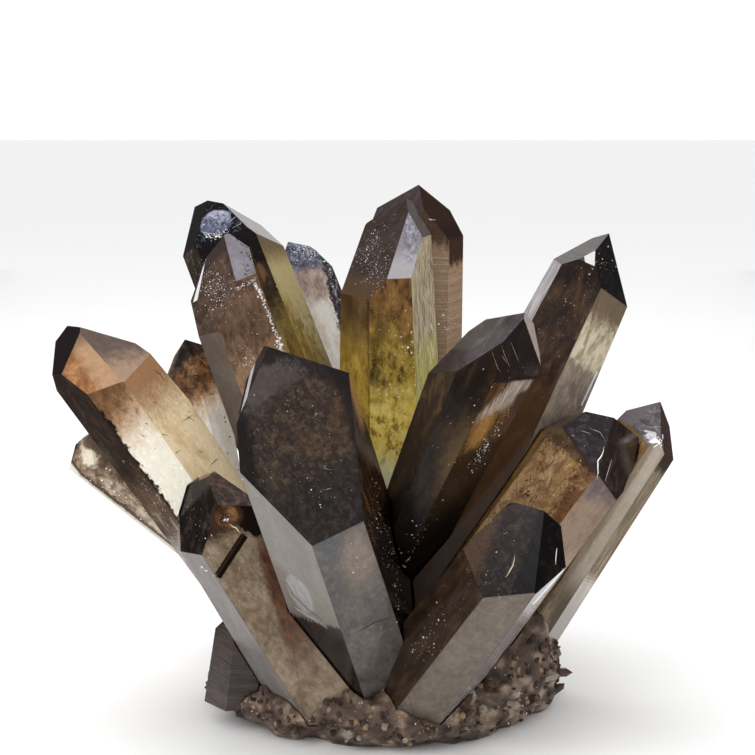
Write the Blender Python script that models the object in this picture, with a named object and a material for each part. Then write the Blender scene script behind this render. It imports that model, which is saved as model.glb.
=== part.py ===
"""Morion (smoky) quartz cluster: crystals of quartz seated in a lump of matrix rock.

Sizes in the dimension blocks are millimetres and degrees; the solids are built in metres, +Z up, with
the origin under the middle of the flat cut base and the cluster's show side facing -Y.

Each crystal is a block of quartz cut by flat planes, as the mineral grows: six prism faces round a long
axis, 60 degrees apart, and a tip of three to six sloping faces. Where two crystals run into each other
the one in front keeps its shape and the other stops against it, GAP away. Two pairs have grown into
one another so far that each pair is one solid. The matrix is cut flat underneath, and has a socket for
the foot of each crystal.
"""
import bpy
import bmesh
from math import cos, radians, sin
from mathutils import Matrix, Vector, noise

MM = 0.001              # millimetres to metres
GAP = 0.3               # clearance between touching pieces
BLOCK = 400.0           # rough block that a crystal is cut from
FOOT_Z = 3.6            # level of the deepest crystal's foot inside the matrix
FOOT_STEP = 0.17        # each later crystal stands this much higher

# matrix: a low rough mound
MATRIX_CENTRE = (1.5, 0.5)
MATRIX_REACH = (36.0, 29.0)     # half length and half width at the widest level
MATRIX_HEIGHT = 16.0
MATRIX_WAIST_Z = 5.0            # level of the widest outline
HUMP_PLACE = (31.0, -7.0)       # the rock climbs under the right-hand crystals
HUMP_RADIUS = 13.0
HUMP_HEIGHT = 11.0
ROCK_RELIEF = 2.6               # height of the large lumps
ROCK_GRAIN = 1.1                # height of the small ones

# druse: small quartz points standing on the matrix
DRUSE_RING = 34                 # points round the flanks
DRUSE_SIZE = (1.1, 2.3)         # smallest and largest half width
DRUSE_SLENDERNESS = 2.4         # length over half width

PRISM_TURN = 60.0               # between neighbouring prism faces
FREE_TIP_SLOPE = 38.2           # a quartz tip face's normal above the prism face's


def crystal(heart, lean, toward, turn, taper, sides, tips, smoke):
    """One crystal's driving dimensions.

    heart: a point on the axis. lean: tilt of the axis to +X. toward: tilt of the axis to -Y.
    turn: how far the first prism face is turned from -Y towards +X. taper: how much each prism face
    leans in towards the tip. sides: distance of the six prism faces from the heart, going round from
    the one that faces -Y by way of +X. tips: (facing, slope, distance from the heart) of each tip face.
    smoke: base colour of the quartz.
    """
    return dict(heart=heart, lean=lean, toward=toward, turn=turn, taper=taper, sides=sides,
                tips=tips, smoke=smoke)


DARK = (0.035, 0.026, 0.022)
BROWN = (0.105, 0.070, 0.045)
TAN = (0.330, 0.255, 0.185)
OLIVE = (0.230, 0.185, 0.050)

# The order is the order of growth: an earlier crystal keeps its shape where two meet.
CRYSTALS = {
    "front_crystal": [crystal(
        (-11.9, -33.0, 56.3), -13.9, 29.7, 17.6, 0.8, (14.5, 10.1, 11.7, 11.7, 9.3, 13.1),
        ((17.6, 39.2, 9.4), (137.6, 39.2, 18.7), (257.6, 39.2, 17.4)), DARK)],
    "lower_right_crystal": [crystal(
        (23.2, -35.0, 38.1), 27.4, 30.2, 5.7, 1.9, (10.3, 8.0, 7.9, 8.5, 7.6, 8.9),
        ((69.9, 54.7, 10.1), (180.0, 29.7, 10.3), (-52.1, 46.5, 7.5), (-115.0, 29.5, 10.8)), DARK)],
    "front_left_crystal": [crystal(
        (-30.8, -23.0, 40.3), -30.2, 9.8, 5.0, 3.0, (6.3, 12.8, 7.6, 7.6, 6.5, 5.4),
        ((55.4, 48.3, 10.9), (75.0, 41.5, 12.1), (-170.0, 77.3, 11.1), (-54.1, 45.0, 4.6)), BROWN)],
    "front_right_crystal": [crystal(
        (17.8, -29.0, 68.4), 19.9, 23.0, -4.7, -2.4, (7.1, 4.4, 10.4, 7.8, 8.7, 8.1),
        ((57.9, 7.9, 5.9), (90.9, 31.7, 12.3), (199.8, 49.0, 14.9), (-94.6, 29.8, 9.1)), DARK)],
    "left_stub_crystal": [crystal(
        (-27.0, -13.0, 14.0), 6.0, 4.0, 12.0, 3.0, (5.6, 5.2, 5.2, 5.6, 5.2, 5.2),
        ((12.0, 38.2, 8.0), (72.0, 38.2, 7.0), (132.0, 38.2, 8.4), (192.0, 38.2, 7.4),
         (-108.0, 38.2, 7.2), (-48.0, 38.2, 8.2)), DARK)],
    "left_crystal": [crystal(
        (-48.3, -11.0, 59.0), -32.9, 2.7, 3.2, -0.9, (9.2, 9.9, 11.9, 8.9, 7.9, 5.2),
        ((16.2, 43.7, 14.3), (60.1, 36.4, 13.9), (123.2, 7.1, 11.6), (111.1, 38.2, 16.5),
         (-86.2, 28.2, 13.5), (-40.5, 63.3, 17.6)), TAN)],
    "right_short_crystal": [crystal(
        (41.0, -9.0, 50.5), 35.6, -1.8, -25.4, 0.0, (7.8, 7.2, 8.4, 8.3, 8.3, 11.2),
        ((-15.0, 30.3, 7.8), (44.7, 32.5, 6.1), (71.9, 0.6, 8.4), (-141.4, 56.3, 9.8),
         (-92.6, 26.6, 10.7)), BROWN)],
    "centre_pair": [crystal(
        (2.9, 4.0, 82.7), -1.2, 2.8, 5.9, 2.0, (10.1, 7.6, 7.5, 8.7, 8.3, 9.9),
        ((5.9, 39.7, 11.4), (65.9, 39.7, 13.8), (185.9, 39.7, 15.8), (-54.1, 39.7, 8.9)), OLIVE),
        crystal(
        (8.9, 15.0, 85.5), 2.6, 2.6, 8.9, 2.2, (8.6, 8.0, 7.6, 8.6, 10.2, 8.6),
        ((68.9, 39.1, 12.0), (188.9, 39.1, 11.7), (-51.1, 39.1, 14.1)), BROWN)],
    "right_tall_crystal": [crystal(
        (40.3, 7.0, 82.3), 26.1, -7.5, -18.4, 2.8, (8.9, 8.8, 9.1, 7.9, 4.5, 8.2),
        ((-18.9, 37.4, 11.1), (43.4, 39.4, 8.9), (101.6, 32.1, 9.3), (181.7, 22.2, 8.3),
         (-71.6, 42.8, 9.5)), BROWN)],
    "right_far_crystal": [crystal(
        (51.8, 2.0, 45.8), 32.6, -5.2, 0.1, 0.5, (7.5, 4.6, 4.9, 6.4, 8.7, 6.1),
        ((-50.8, 35.1, 10.1), (59.5, 44.2, 9.0), (193.1, 23.0, 9.8), (-59.7, 33.2, 10.1)), TAN)],
    "tall_left_pair": [crystal(
        (-27.6, 0.0, 75.1), -18.9, 2.4, 30.4, 0.7, (7.1, 8.2, 7.7, 7.7, 6.5, 9.2),
        ((30.4, 38.7, 13.0), (90.4, 38.7, 16.8), (210.4, 38.7, 12.8), (270.4, 38.7, 11.7),
         (-29.6, 38.7, 9.9)), BROWN),
        crystal(
        (-25.5, 13.0, 81.6), -20.7, -2.3, 5.5, 0.8, (7.6, 8.4, 8.4, 8.6, 8.6, 10.0),
        ((1.8, 42.0, 15.1), (84.8, 32.4, 12.4), (118.5, 47.9, 15.8), (-62.7, 44.8, 17.0)), OLIVE)],
    "left_small_crystal": [crystal(
        (-36.6, 7.0, 63.6), -13.3, 1.2, -17.1, -4.5, (5.1, 5.1, 5.1, 5.1, 5.1, 5.1),
        ((-17.1, 38.3, 6.9), (42.9, 38.3, 6.7), (162.9, 38.3, 6.7), (-77.1, 38.3, 7.1)), BROWN)],
    "left_lower_crystal": [crystal(
        (-54.8, 2.0, 46.9), -49.1, 4.7, -14.7, 0.3, (4.1, 4.1, 4.1, 4.1, 4.1, 4.1),
        ((-8.7, 41.7, 6.1), (107.9, 79.5, 9.3), (-139.5, 42.9, 6.2)), TAN)],
    "pale_crystal": [crystal(
        (-12.8, 24.0, 80.2), -18.0, -3.5, -24.0, 3.5, (3.1, 5.1, 5.4, 4.6, 4.6, 4.6),
        ((-20.1, 12.5, 4.9), (38.7, 32.9, 9.6), (138.2, 29.2, 4.7), (-84.0, 38.0, 10.3)), TAN)],
    "back_centre_crystal": [crystal(
        (4.0, 42.0, 52.0), 4.0, -22.0, 12.0, -1.5, (7.5, 8.5, 7.0, 8.0, 7.5, 8.5),
        ((12.0, 38.2, 14.0), (72.0, 38.2, 10.5), (132.0, 38.2, 13.5), (192.0, 38.2, 9.0),
         (-108.0, 38.2, 10.0), (-48.0, 38.2, 13.0)), BROWN)],
    "back_left_crystal": [crystal(
        (-24.0, 33.0, 46.0), -27.0, -26.0, 25.0, -1.5, (6.5, 6.0, 7.0, 6.0, 6.5, 6.0),
        ((25.0, 38.2, 11.0), (85.0, 38.2, 8.5), (145.0, 38.2, 8.0), (205.0, 38.2, 10.5),
         (-95.0, 38.2, 8.5)), DARK)],
    "back_right_crystal": [crystal(
        (32.0, 33.0, 44.0), 33.0, -28.0, -10.0, -1.5, (6.0, 6.5, 5.5, 6.5, 6.0, 6.5),
        ((-10.0, 38.2, 10.5), (50.0, 38.2, 8.0), (110.0, 38.2, 9.5), (170.0, 38.2, 7.5),
         (-70.0, 38.2, 9.0)), TAN)],
    "back_low_left_crystal": [crystal(
        (-30.0, 27.0, 24.0), -52.0, -26.0, 5.0, -1.0, (4.5, 5.0, 4.5, 5.0, 4.5, 5.0),
        ((5.0, 38.2, 7.0), (65.0, 38.2, 9.0), (125.0, 38.2, 6.5), (-115.0, 38.2, 7.5)), BROWN)],
    "back_low_crystal": [crystal(
        (8.0, 37.0, 22.0), 12.0, -48.0, 20.0, -1.0, (5.5, 5.0, 5.5, 6.0, 5.5, 5.0),
        ((20.0, 38.2, 9.5), (80.0, 38.2, 7.0), (140.0, 38.2, 8.0), (200.0, 38.2, 7.5),
         (-100.0, 38.2, 7.0)), DARK)],
}


# ---------------------------------------------------------------- scene and mesh helpers
def clear_scene():
    for obj in list(bpy.data.objects):
        bpy.data.objects.remove(obj, do_unlink=True)


def quartz_material(name, colour):
    material = bpy.data.materials.new(name)
    material.use_nodes = True
    shader = material.node_tree.nodes["Principled BSDF"]
    shader.inputs["Base Color"].default_value = (*colour, 1.0)
    shader.inputs["Roughness"].default_value = 0.06
    shader.inputs["IOR"].default_value = 1.54
    shader.inputs["Transmission Weight"].default_value = 0.8
    return material


def rock_material(name):
    material = bpy.data.materials.new(name)
    material.use_nodes = True
    shader = material.node_tree.nodes["Principled BSDF"]
    shader.inputs["Base Color"].default_value = (0.11, 0.075, 0.05, 1.0)
    shader.inputs["Roughness"].default_value = 0.8
    return material


def add_object(name, bm):
    mesh = bpy.data.meshes.new(name)
    bm.to_mesh(mesh)
    bm.free()
    obj = bpy.data.objects.new(name, mesh)
    bpy.context.scene.collection.objects.link(obj)
    return obj


def combine(obj, other, operation):
    """Apply one exact Boolean of other to obj, and remove other."""
    modifier = obj.modifiers.new("join", "BOOLEAN")
    modifier.operation = operation
    modifier.solver = "EXACT"
    modifier.object = other
    graph = bpy.context.evaluated_depsgraph_get()
    mesh = bpy.data.meshes.new_from_object(obj.evaluated_get(graph))
    obj.modifiers.clear()
    old = obj.data
    obj.data = mesh
    bpy.data.meshes.remove(old)
    bpy.data.objects.remove(other, do_unlink=True)


def islands(bm):
    """The connected bodies of a mesh, as lists of faces, the largest first."""
    left = set(bm.faces)
    bodies = []
    while left:
        body = [left.pop()]
        for face in body:
            for edge in face.edges:
                for neighbour in edge.link_faces:
                    if neighbour in left:
                        left.remove(neighbour)
                        body.append(neighbour)
        bodies.append(body)
    return sorted(bodies, key=lambda body: -sum(face.calc_area() for face in body))


def keep_largest_body(obj):
    bm = bmesh.new()
    bm.from_mesh(obj.data)
    spare = [face for body in islands(bm)[1:] for face in body]
    bmesh.ops.delete(bm, geom=spare, context="FACES")
    bm.to_mesh(obj.data)
    bm.free()


# ---------------------------------------------------------------- crystals
def cut_away(bm, point, normal):
    """Cut off what lies beyond a plane and close the cut with one flat face."""
    geometry = bm.verts[:] + bm.edges[:] + bm.faces[:]
    bmesh.ops.bisect_plane(bm, geom=geometry, dist=1e-4, plane_co=point, plane_no=normal, clear_outer=True)
    rim = [edge for edge in bm.edges if edge.is_boundary]
    if rim:
        bmesh.ops.holes_fill(bm, edges=rim)


def axis_frame(lean, toward):
    """The crystal's axis, and the two directions across it: to the front and to the right."""
    a, b = radians(lean), radians(toward)
    axis = Vector((sin(a) * cos(b), -sin(b), cos(a) * cos(b)))
    front = Vector((0.0, -1.0, 0.0))
    front = (front - axis * front.dot(axis)).normalized()
    return axis, front, axis.cross(front)


def crystal_faces(spec):
    """(facing, slope, distance) of every flat face."""
    prism = [(spec["turn"] + PRISM_TURN * i, spec["taper"], side) for i, side in enumerate(spec["sides"])]
    return prism + list(spec["tips"])


def foot_level(spec):
    order = [member for specs in CRYSTALS.values() for member in specs]
    return FOOT_Z + FOOT_STEP * order.index(spec)


def crystal_solid(name, spec, grow=0.0):
    """One crystal in millimetres, with every face moved out by grow."""
    bm = bmesh.new()
    heart = Vector(spec["heart"])
    bmesh.ops.create_cube(bm, size=BLOCK, matrix=Matrix.Translation(heart))
    axis, front, right = axis_frame(spec["lean"], spec["toward"])
    for facing, slope, distance in crystal_faces(spec):
        f, s = radians(facing), radians(slope)
        normal = (front * cos(f) + right * sin(f)) * cos(s) + axis * sin(s)
        cut_away(bm, heart + normal * (distance + grow), normal)
    cut_away(bm, Vector((0.0, 0.0, foot_level(spec) - grow)), Vector((0.0, 0.0, -1.0)))
    return add_object(name, bm)


def grown_solid(name, specs, grow=0.0):
    """The crystals of one node, joined."""
    obj = crystal_solid(name, specs[0], grow)
    for spec in specs[1:]:
        combine(obj, crystal_solid(name + "_twin", spec, grow), "UNION")
    return obj


def build_crystals():
    objects = []
    earlier = []
    for name, specs in CRYSTALS.items():
        obj = grown_solid(name, specs)
        for other in earlier:
            for spec in other:
                combine(obj, crystal_solid("cutter", spec, GAP), "DIFFERENCE")
        keep_largest_body(obj)
        obj.data.materials.clear()
        obj.data.materials.append(quartz_material(name, specs[0]["smoke"]))
        objects.append(obj)
        earlier.append(specs)
    return objects


# ---------------------------------------------------------------- matrix
def rock_height(x, y):
    """Extra height of the mound under the right-hand crystals."""
    dx, dy = x - HUMP_PLACE[0], y - HUMP_PLACE[1]
    nearness = max(0.0, 1.0 - (dx * dx + dy * dy) / HUMP_RADIUS ** 2)
    return HUMP_HEIGHT * nearness ** 1.5


def rock_lump():
    """The rough mound, closed and cut flat at Z = 0."""
    bm = bmesh.new()
    bmesh.ops.create_icosphere(bm, subdivisions=5, radius=1.0)
    for vert in bm.verts:
        direction = vert.co.normalized()
        up = MATRIX_HEIGHT - MATRIX_WAIST_Z
        place = Vector((direction.x * MATRIX_REACH[0], direction.y * MATRIX_REACH[1], direction.z * up))
        place += Vector((*MATRIX_CENTRE, MATRIX_WAIST_Z))
        if direction.z > 0.0:
            place.z += rock_height(place.x, place.y)
        lumps = noise.noise(place * 0.11) * ROCK_RELIEF + noise.noise(place * 0.42) * ROCK_GRAIN
        place += direction * lumps
        vert.co = place
    cut_away(bm, Vector((0.0, 0.0, 0.0)), Vector((0.0, 0.0, -1.0)))
    return add_object("matrix", bm)


def add_druse(rock):
    """Small quartz points round the flanks of the matrix, fused to it."""
    for i in range(DRUSE_RING):
        around = radians(360.0 / DRUSE_RING * i + 11.0 * noise.noise(Vector((i * 0.7, 0.3, 0.0))))
        level = 0.35 + 0.5 * noise.noise(Vector((i * 1.3, 4.1, 0.0)))
        out = Vector((cos(around), sin(around), 0.0))
        share = 0.5 + 0.5 * noise.noise(Vector((i * 2.1, 7.7, 1.0)))
        half = DRUSE_SIZE[0] + (DRUSE_SIZE[1] - DRUSE_SIZE[0]) * share
        reach = 0.93 - 0.25 * max(0.0, level)
        place = Vector((MATRIX_CENTRE[0] + out.x * MATRIX_REACH[0] * reach,
                        MATRIX_CENTRE[1] + out.y * MATRIX_REACH[1] * reach,
                        MATRIX_WAIST_Z + max(0.0, level) * 7.0))
        lean = out.x * (58.0 - 30.0 * level)
        toward = -out.y * (58.0 - 30.0 * level)
        length = half * DRUSE_SLENDERNESS
        tips = tuple((60.0 * k + 13.0 * i, FREE_TIP_SLOPE, length * 0.62 + 0.12 * half * (k % 2) * 3.0)
                     for k in range(6))
        point = crystal(tuple(place), lean, toward, 13.0 * i, 0.0, (half,) * 6, tips, TAN)
        combine(rock, druse_solid(point, length), "UNION")


def druse_solid(spec, length):
    bm = bmesh.new()
    heart = Vector(spec["heart"])
    bmesh.ops.create_cube(bm, size=BLOCK, matrix=Matrix.Translation(heart))
    axis, front, right = axis_frame(spec["lean"], spec["toward"])
    for facing, slope, distance in crystal_faces(spec):
        f, s = radians(facing), radians(slope)
        normal = (front * cos(f) + right * sin(f)) * cos(s) + axis * sin(s)
        cut_away(bm, heart + normal * distance, normal)
    cut_away(bm, heart - axis * length, -axis)
    return add_object("druse", bm)


def build_matrix():
    rock = rock_lump()
    add_druse(rock)
    for specs in CRYSTALS.values():
        for spec in specs:
            combine(rock, crystal_solid("socket", spec, GAP), "DIFFERENCE")
    keep_largest_body(rock)
    rock.data.materials.clear()
    rock.data.materials.append(rock_material("matrix"))
    return rock


def centred_on_base(objects):
    """The shift that puts the middle of the whole object's outline over the origin."""
    corners = [vert.co for obj in objects for vert in obj.data.vertices]
    middle = [0.5 * (min(c[i] for c in corners) + max(c[i] for c in corners)) for i in (0, 1)]
    return Matrix.Translation((-middle[0], -middle[1], 0.0))


def main():
    clear_scene()
    objects = build_crystals() + [build_matrix()]
    shift = centred_on_base(objects)
    for obj in objects:
        obj.data.transform(Matrix.Scale(MM, 4) @ shift)


main()
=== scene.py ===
"""Looks for the smoky quartz cluster: every crystal is see-through quartz with its own smoke zones,
growth lines, specks, cracks and broken facets; the matrix is rough brown rock with small quartz points.

Sizes are millimetres in the row frame unless a name says otherwise. A crystal's own frame has its heart
at the origin: X across to the right, Y away from the viewer and Z along the crystal to its tip.
"""
import random
from math import atan, cos, pi, radians, sin

import bpy
from mathutils import Matrix, Vector
from mathutils.bvhtree import BVHTree


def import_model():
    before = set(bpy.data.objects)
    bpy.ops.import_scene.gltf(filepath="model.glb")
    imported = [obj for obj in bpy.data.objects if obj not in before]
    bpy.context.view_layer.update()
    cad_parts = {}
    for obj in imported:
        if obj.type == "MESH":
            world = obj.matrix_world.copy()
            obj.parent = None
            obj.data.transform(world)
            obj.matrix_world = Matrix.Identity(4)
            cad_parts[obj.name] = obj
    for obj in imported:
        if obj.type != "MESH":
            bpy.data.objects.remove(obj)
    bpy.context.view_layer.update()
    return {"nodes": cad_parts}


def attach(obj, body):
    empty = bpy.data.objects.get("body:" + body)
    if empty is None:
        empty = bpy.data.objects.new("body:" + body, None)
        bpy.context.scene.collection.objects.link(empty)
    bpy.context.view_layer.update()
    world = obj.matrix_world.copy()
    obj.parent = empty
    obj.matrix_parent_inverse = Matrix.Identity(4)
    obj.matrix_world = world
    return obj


MM = 0.001
SHIFT = Vector((1.53, -2.22, 0.0))      # the part's centring over its base

# camera at the photograph's angle
CAMERA_ELEVATION = 10.0                 # degrees
CAMERA_DISTANCE = 305.0
CAMERA_TARGET_Z = 67.5
FRAME_HALF_WIDTH = 76.0                 # at the target
FLOOR_REACH = 6000.0
FLOOR_COLOUR = (0.84, 0.84, 0.84, 1.0)
WORLD_STRENGTH = 1.04
FLAG_RADIUS = 900.0
FLAG_MIDDLE = 50.0                      # height that a flag's low and high angles are seen from
FLOOR_GLOW_RADIUS = 78.0                # the white table under the cluster, as its faces see it

# how each crystal stands: heart, lean to +X, toward the viewer, turn of its first prism face.
# All but left_stub and the back ones were fitted by a program to edges picked on the photograph.
STANCE = {
    "front": ((-11.9, -33.0, 56.3), -13.9, 29.7, 17.6),
    "lower_right": ((23.2, -35.0, 38.1), 27.4, 30.2, 5.7),
    "front_left": ((-30.8, -23.0, 40.3), -30.2, 9.8, 5.0),
    "front_right": ((17.8, -29.0, 68.4), 19.9, 23.0, -4.7),
    "left_stub": ((-27.0, -13.0, 14.0), 6.0, 4.0, 12.0),
    "left": ((-48.3, -11.0, 59.0), -32.9, 2.7, 3.2),
    "right_short": ((41.0, -9.0, 50.5), 35.6, -1.8, -25.4),
    "centre": ((2.9, 4.0, 82.7), -1.2, 2.8, 5.9),
    "centre_back": ((8.9, 15.0, 85.5), 2.6, 2.6, 8.9),
    "right_tall": ((40.3, 7.0, 82.3), 26.1, -7.5, -18.4),
    "right_far": ((51.8, 2.0, 45.8), 32.6, -5.2, 0.1),
    "tall_left": ((-27.6, 0.0, 75.1), -18.9, 2.4, 30.4),
    "tall_left_back": ((-25.5, 13.0, 81.6), -20.7, -2.3, 5.5),
    "left_small": ((-36.6, 7.0, 63.6), -13.3, 1.2, -17.1),
    "left_lower": ((-54.8, 2.0, 46.9), -49.1, 4.7, -14.7),
    "pale": ((-12.8, 24.0, 80.2), -18.0, -3.5, -24.0),
    "back_centre": ((4.0, 42.0, 52.0), 4.0, -22.0, 12.0),
    "back_left": ((-24.0, 33.0, 46.0), -27.0, -26.0, 25.0),
    "back_right": ((32.0, 33.0, 44.0), 33.0, -28.0, -10.0),
    "back_low_left": ((-30.0, 27.0, 24.0), -52.0, -26.0, 5.0),
    "back_low": ((8.0, 37.0, 22.0), 12.0, -48.0, 20.0),
}


def tone(red, green, blue):
    """A display colour, 0 to 255, as the shader wants it."""
    def linear(value):
        value /= 255.0
        return value / 12.92 if value <= 0.04045 else ((value + 0.055) / 1.055) ** 2.4
    return (linear(red), linear(green), linear(blue), 1.0)


def gained(colour, gain):
    return tuple(min(255, gain * c) for c in colour)


class Stance:
    """A crystal's own frame."""

    def __init__(self, key):
        heart, lean, toward, self.turn = STANCE[key]
        a, b = radians(lean), radians(toward)
        self.heart = Vector(heart) + SHIFT
        self.axis = Vector((sin(a) * cos(b), -sin(b), cos(a) * cos(b)))
        front = Vector((0.0, -1.0, 0.0))
        self.front = (front - self.axis * front.dot(self.axis)).normalized()
        self.right = self.axis.cross(self.front)

    def normal(self, facing, slope):
        f, s = radians(facing), radians(slope)
        return (self.front * cos(f) + self.right * sin(f)) * cos(s) + self.axis * sin(s)

    def euler(self):
        columns = Matrix((self.right, -self.front, self.axis)).transposed()
        return columns.to_euler()


# ---------------------------------------------------------------- shader building
QUARTZ_IOR = 1.54
QUARTZ_ROUGHNESS = 0.08
# colour of the dark line painted along the crystals' edges: painted shade
EDGE_SHADE_COLOUR = (30, 24, 22)                     # colours are display colours, 0 to 255
WHITE = (255, 253, 248)
GRAIN = 0.28                            # strengths of the layers that every crystal has
CLOUD = 0.62
CLOUD_SIZE = 1.6
# width and strength of the dark line painted along the edges: painted shade
EDGE_WIDTH = 0.22
EDGE = 0.25
SIZEABLE_FACE = 0.4                     # mm2
MAIN_FACE = 12.0                        # mm2

# directions of a crystal's own frame
UP, DOWN = (0, 0, 1), (0, 0, -1)
RIGHT, LEFT, BACK = (1, 0, 0), (-1, 0, 0), (0, 1, 0)


class Shader:
    """One material, built as a base colour that is painted over zone by zone."""

    def __init__(self, name, obj, stances):
        self.material = bpy.data.materials.new(name)
        self.material.use_nodes = True
        self.nodes = self.material.node_tree.nodes
        self.links = self.material.node_tree.links
        self.bsdf = self.nodes["Principled BSDF"]
        self.obj = obj
        self.stances = [Stance(key) for key in stances]
        self.place = self.add("TexCoord").outputs["Object"]
        self.normal = self.add("NewGeometry").outputs["True Normal"]
        self.locals = []
        self.split = []
        self.colour = None
        self.known = {}
        for stance in self.stances:
            inputs = {"Location": stance.heart * MM, "Rotation": stance.euler(),
                      "Scale": (MM, MM, MM), "Vector": self.place}
            local = self.add("Mapping", inputs, vector_type="TEXTURE").outputs["Vector"]
            self.locals.append(local)
            self.split.append(self.add("SeparateXYZ", {"Vector": local}).outputs)

    def feed(self, socket, value):
        if hasattr(value, "is_output"):
            self.links.new(value, socket)
        else:
            socket.default_value = value

    def add(self, kind, inputs=None, **settings):
        """A new node with its settings and with what goes into its inputs."""
        node = self.nodes.new("ShaderNode" + kind)
        for name, value in settings.items():
            setattr(node, name, value)
        for socket, value in (inputs or {}).items():
            self.feed(node.inputs[socket], value)
        return node

    def math(self, operation, a, b=0.0, clamp=False):
        return self.add("Math", {0: a, 1: b}, operation=operation, use_clamp=clamp).outputs[0]

    def gap(self, a, b):
        return self.math("ABSOLUTE", self.math("SUBTRACT", a, b))

    def dot(self, vector, direction):
        node = self.add("VectorMath", {0: vector, 1: direction}, operation="DOT_PRODUCT")
        return node.outputs["Value"]

    def step(self, value, low, high):
        """0 where value is at low and 1 where it is at high, smooth between; low may be the larger."""
        inputs = {"Value": value, "From Min": low, "From Max": high}
        return self.add("MapRange", inputs, interpolation_type="SMOOTHSTEP").outputs["Result"]

    def times(self, *masks):
        result = masks[0]
        for mask in masks[1:]:
            result = self.math("MULTIPLY", result, mask)
        return result

    def plane_distance(self, normal, offset):
        return self.gap(self.dot(self.place, normal), offset * MM)

    def face(self, facing, slope, k=0):
        """1 on the crystal face with that facing and slope."""
        key = (facing, slope, k)
        if key not in self.known:
            normal, offset = nearest_face(self.obj, self.stances[k].normal(facing, slope))
            near = self.step(self.plane_distance(normal, offset), 0.22 * MM, 0.08 * MM)
            alike = self.step(self.math("ABSOLUTE", self.dot(self.normal, normal)), 0.95, 0.98)
            self.known[key] = self.times(near, alike)
        return self.known[key]

    def zone(self, letter, low, high, k=0):
        """0 at low and 1 at high along one of the crystal's own axes."""
        return self.step(self.split[k]["XYZ".index(letter)], low, high)

    def along(self, direction, k):
        """Millimetres along any direction of the crystal's own frame."""
        return self.dot(self.locals[k], Vector(direction).normalized())

    def slant(self, direction, low, high, k=0):
        """0 at low and 1 at high along a direction."""
        return self.step(self.along(direction, k), low, high)

    def stretched(self, scale, k, shift=(0.0, 0.0, 0.0)):
        inputs = {"Location": shift, "Scale": scale, "Vector": self.locals[k]}
        return self.add("Mapping", inputs).outputs["Vector"]

    def fractal(self, size, k=0, seed=0.0, warp=0.0, rough=0.72, detail=9.0):
        """Cloudy value about 0.5; size is the blob size across and along the crystal."""
        across, along = size
        scale = (1.0 / across, 1.0 / across, 1.0 / along)
        vector = self.stretched(scale, k, (seed * 7.3, seed * 3.1, seed * 5.7))
        inputs = {"Scale": 1.0, "Detail": detail, "Roughness": rough, "Distortion": warp, "Vector": vector}
        return self.add("TexNoise", inputs).outputs["Fac"]

    def noise(self, size, low=0.35, high=0.65, detail=6.0, k=0, seed=0.0, warp=0.0, rough=0.62):
        """Cloudy mask."""
        return self.step(self.fractal(size, k, seed, warp, rough, detail), low, high)

    def ragged(self, direction, low, high, reach, size=(1.2, 1.6), k=0, seed=0.0):
        """Like slant, with an edge that wanders by about reach millimetres."""
        level = self.along(direction, k)
        wander = self.math("SUBTRACT", self.fractal(size, k, seed), 0.5)
        return self.step(self.math("ADD", level, self.math("MULTIPLY", wander, 5.0 * reach)), low, high)

    def veins(self, size, width, seed=0.0, warp=0.0):
        """Thin wandering lines."""
        return self.step(self.gap(self.fractal(size, 0, seed, warp, 0.6, 5.0), 0.5), width, 0.3 * width)

    def dots(self, cell, radius, share, k=0, seed=0.0):
        """Round specks in a share of the cells; radius as a part of a cell."""
        vector = self.stretched([1.0 / cell] * 3, k, (seed * 5.1, seed * 2.3, seed * 4.7))
        cells = self.add("TexVoronoi", {"Scale": 1.0, "Vector": vector})
        chance = self.add("SeparateColor", {"Color": cells.outputs["Color"]})
        chosen = self.step(chance.outputs["Red"], 1.0 - share, 1.01 - share)
        return self.times(self.step(cells.outputs["Distance"], radius, 0.6 * radius), chosen)

    def bar(self, start, end, width, k=0):
        """1 on a straight strip between two (X, Z) points."""
        a, b = Vector((start[0], 0.0, start[1])), Vector((end[0], 0.0, end[1]))
        along = (b - a).normalized()
        across = Vector((-along.z, 0.0, along.x))
        middle, half = (a + b) / 2.0, (b - a).length / 2.0
        masks = []
        for direction, reach in ((along, half), (across, width / 2.0)):
            gap = self.gap(self.dot(self.locals[k], direction), direction.dot(middle))
            masks.append(self.step(gap, reach + 0.1, reach - 0.1))
        return self.times(*masks)

    def paint(self, colour, *masks, strength=1.0):
        """Lays colour over what is there, where all the masks are 1."""
        if isinstance(colour, tuple):
            colour = tone(*colour)
        if self.colour is None:
            self.colour = colour
            return
        factor = self.times(*masks) if masks else 1.0
        if strength != 1.0:
            factor = self.math("MULTIPLY", factor, strength)
        self.colour = self.add("Mix", {0: factor, 6: self.colour, 7: colour}, data_type="RGBA").outputs[2]

    def mottle(self, dark, light, *masks, size=(2.0, 3.0), k=0, seed=0.0, warp=0.4, strength=0.85):
        """Ragged dark and light clouds over what is there."""
        value = self.fractal([CLOUD_SIZE * c for c in size], k, seed, warp, 0.66)
        if dark:
            self.paint(dark, *masks, self.step(value, 0.53, 0.37), strength=CLOUD * strength)
        if light:
            self.paint(light, *masks, self.step(value, 0.49, 0.66), strength=CLOUD * strength)

    def cover(self, base, dark, light, *masks, **clouds):
        """A colour of its own with dark and light clouds in it."""
        self.paint(base, *masks)
        self.mottle(dark, light, *masks, **clouds)

    def smoke(self, body, tip, seed, height=2.0):
        """The whole crystal: clouded all through and darker toward its tip."""
        self.cover(body, gained(body, 0.62), gained(body, 1.22), size=(2, 4), seed=seed)
        smoky = self.ragged(UP, height - 6, height + 5, 2.4, (2, 3), seed=seed + 1)
        self.cover(tip, gained(tip, 0.6), gained(tip, 1.6), smoky, size=(1.6, 2.4), seed=seed + 2)
        self.mottle(gained(body, 0.5), None, size=(0.8, 1.3), seed=seed + 3, strength=0.6)

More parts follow.
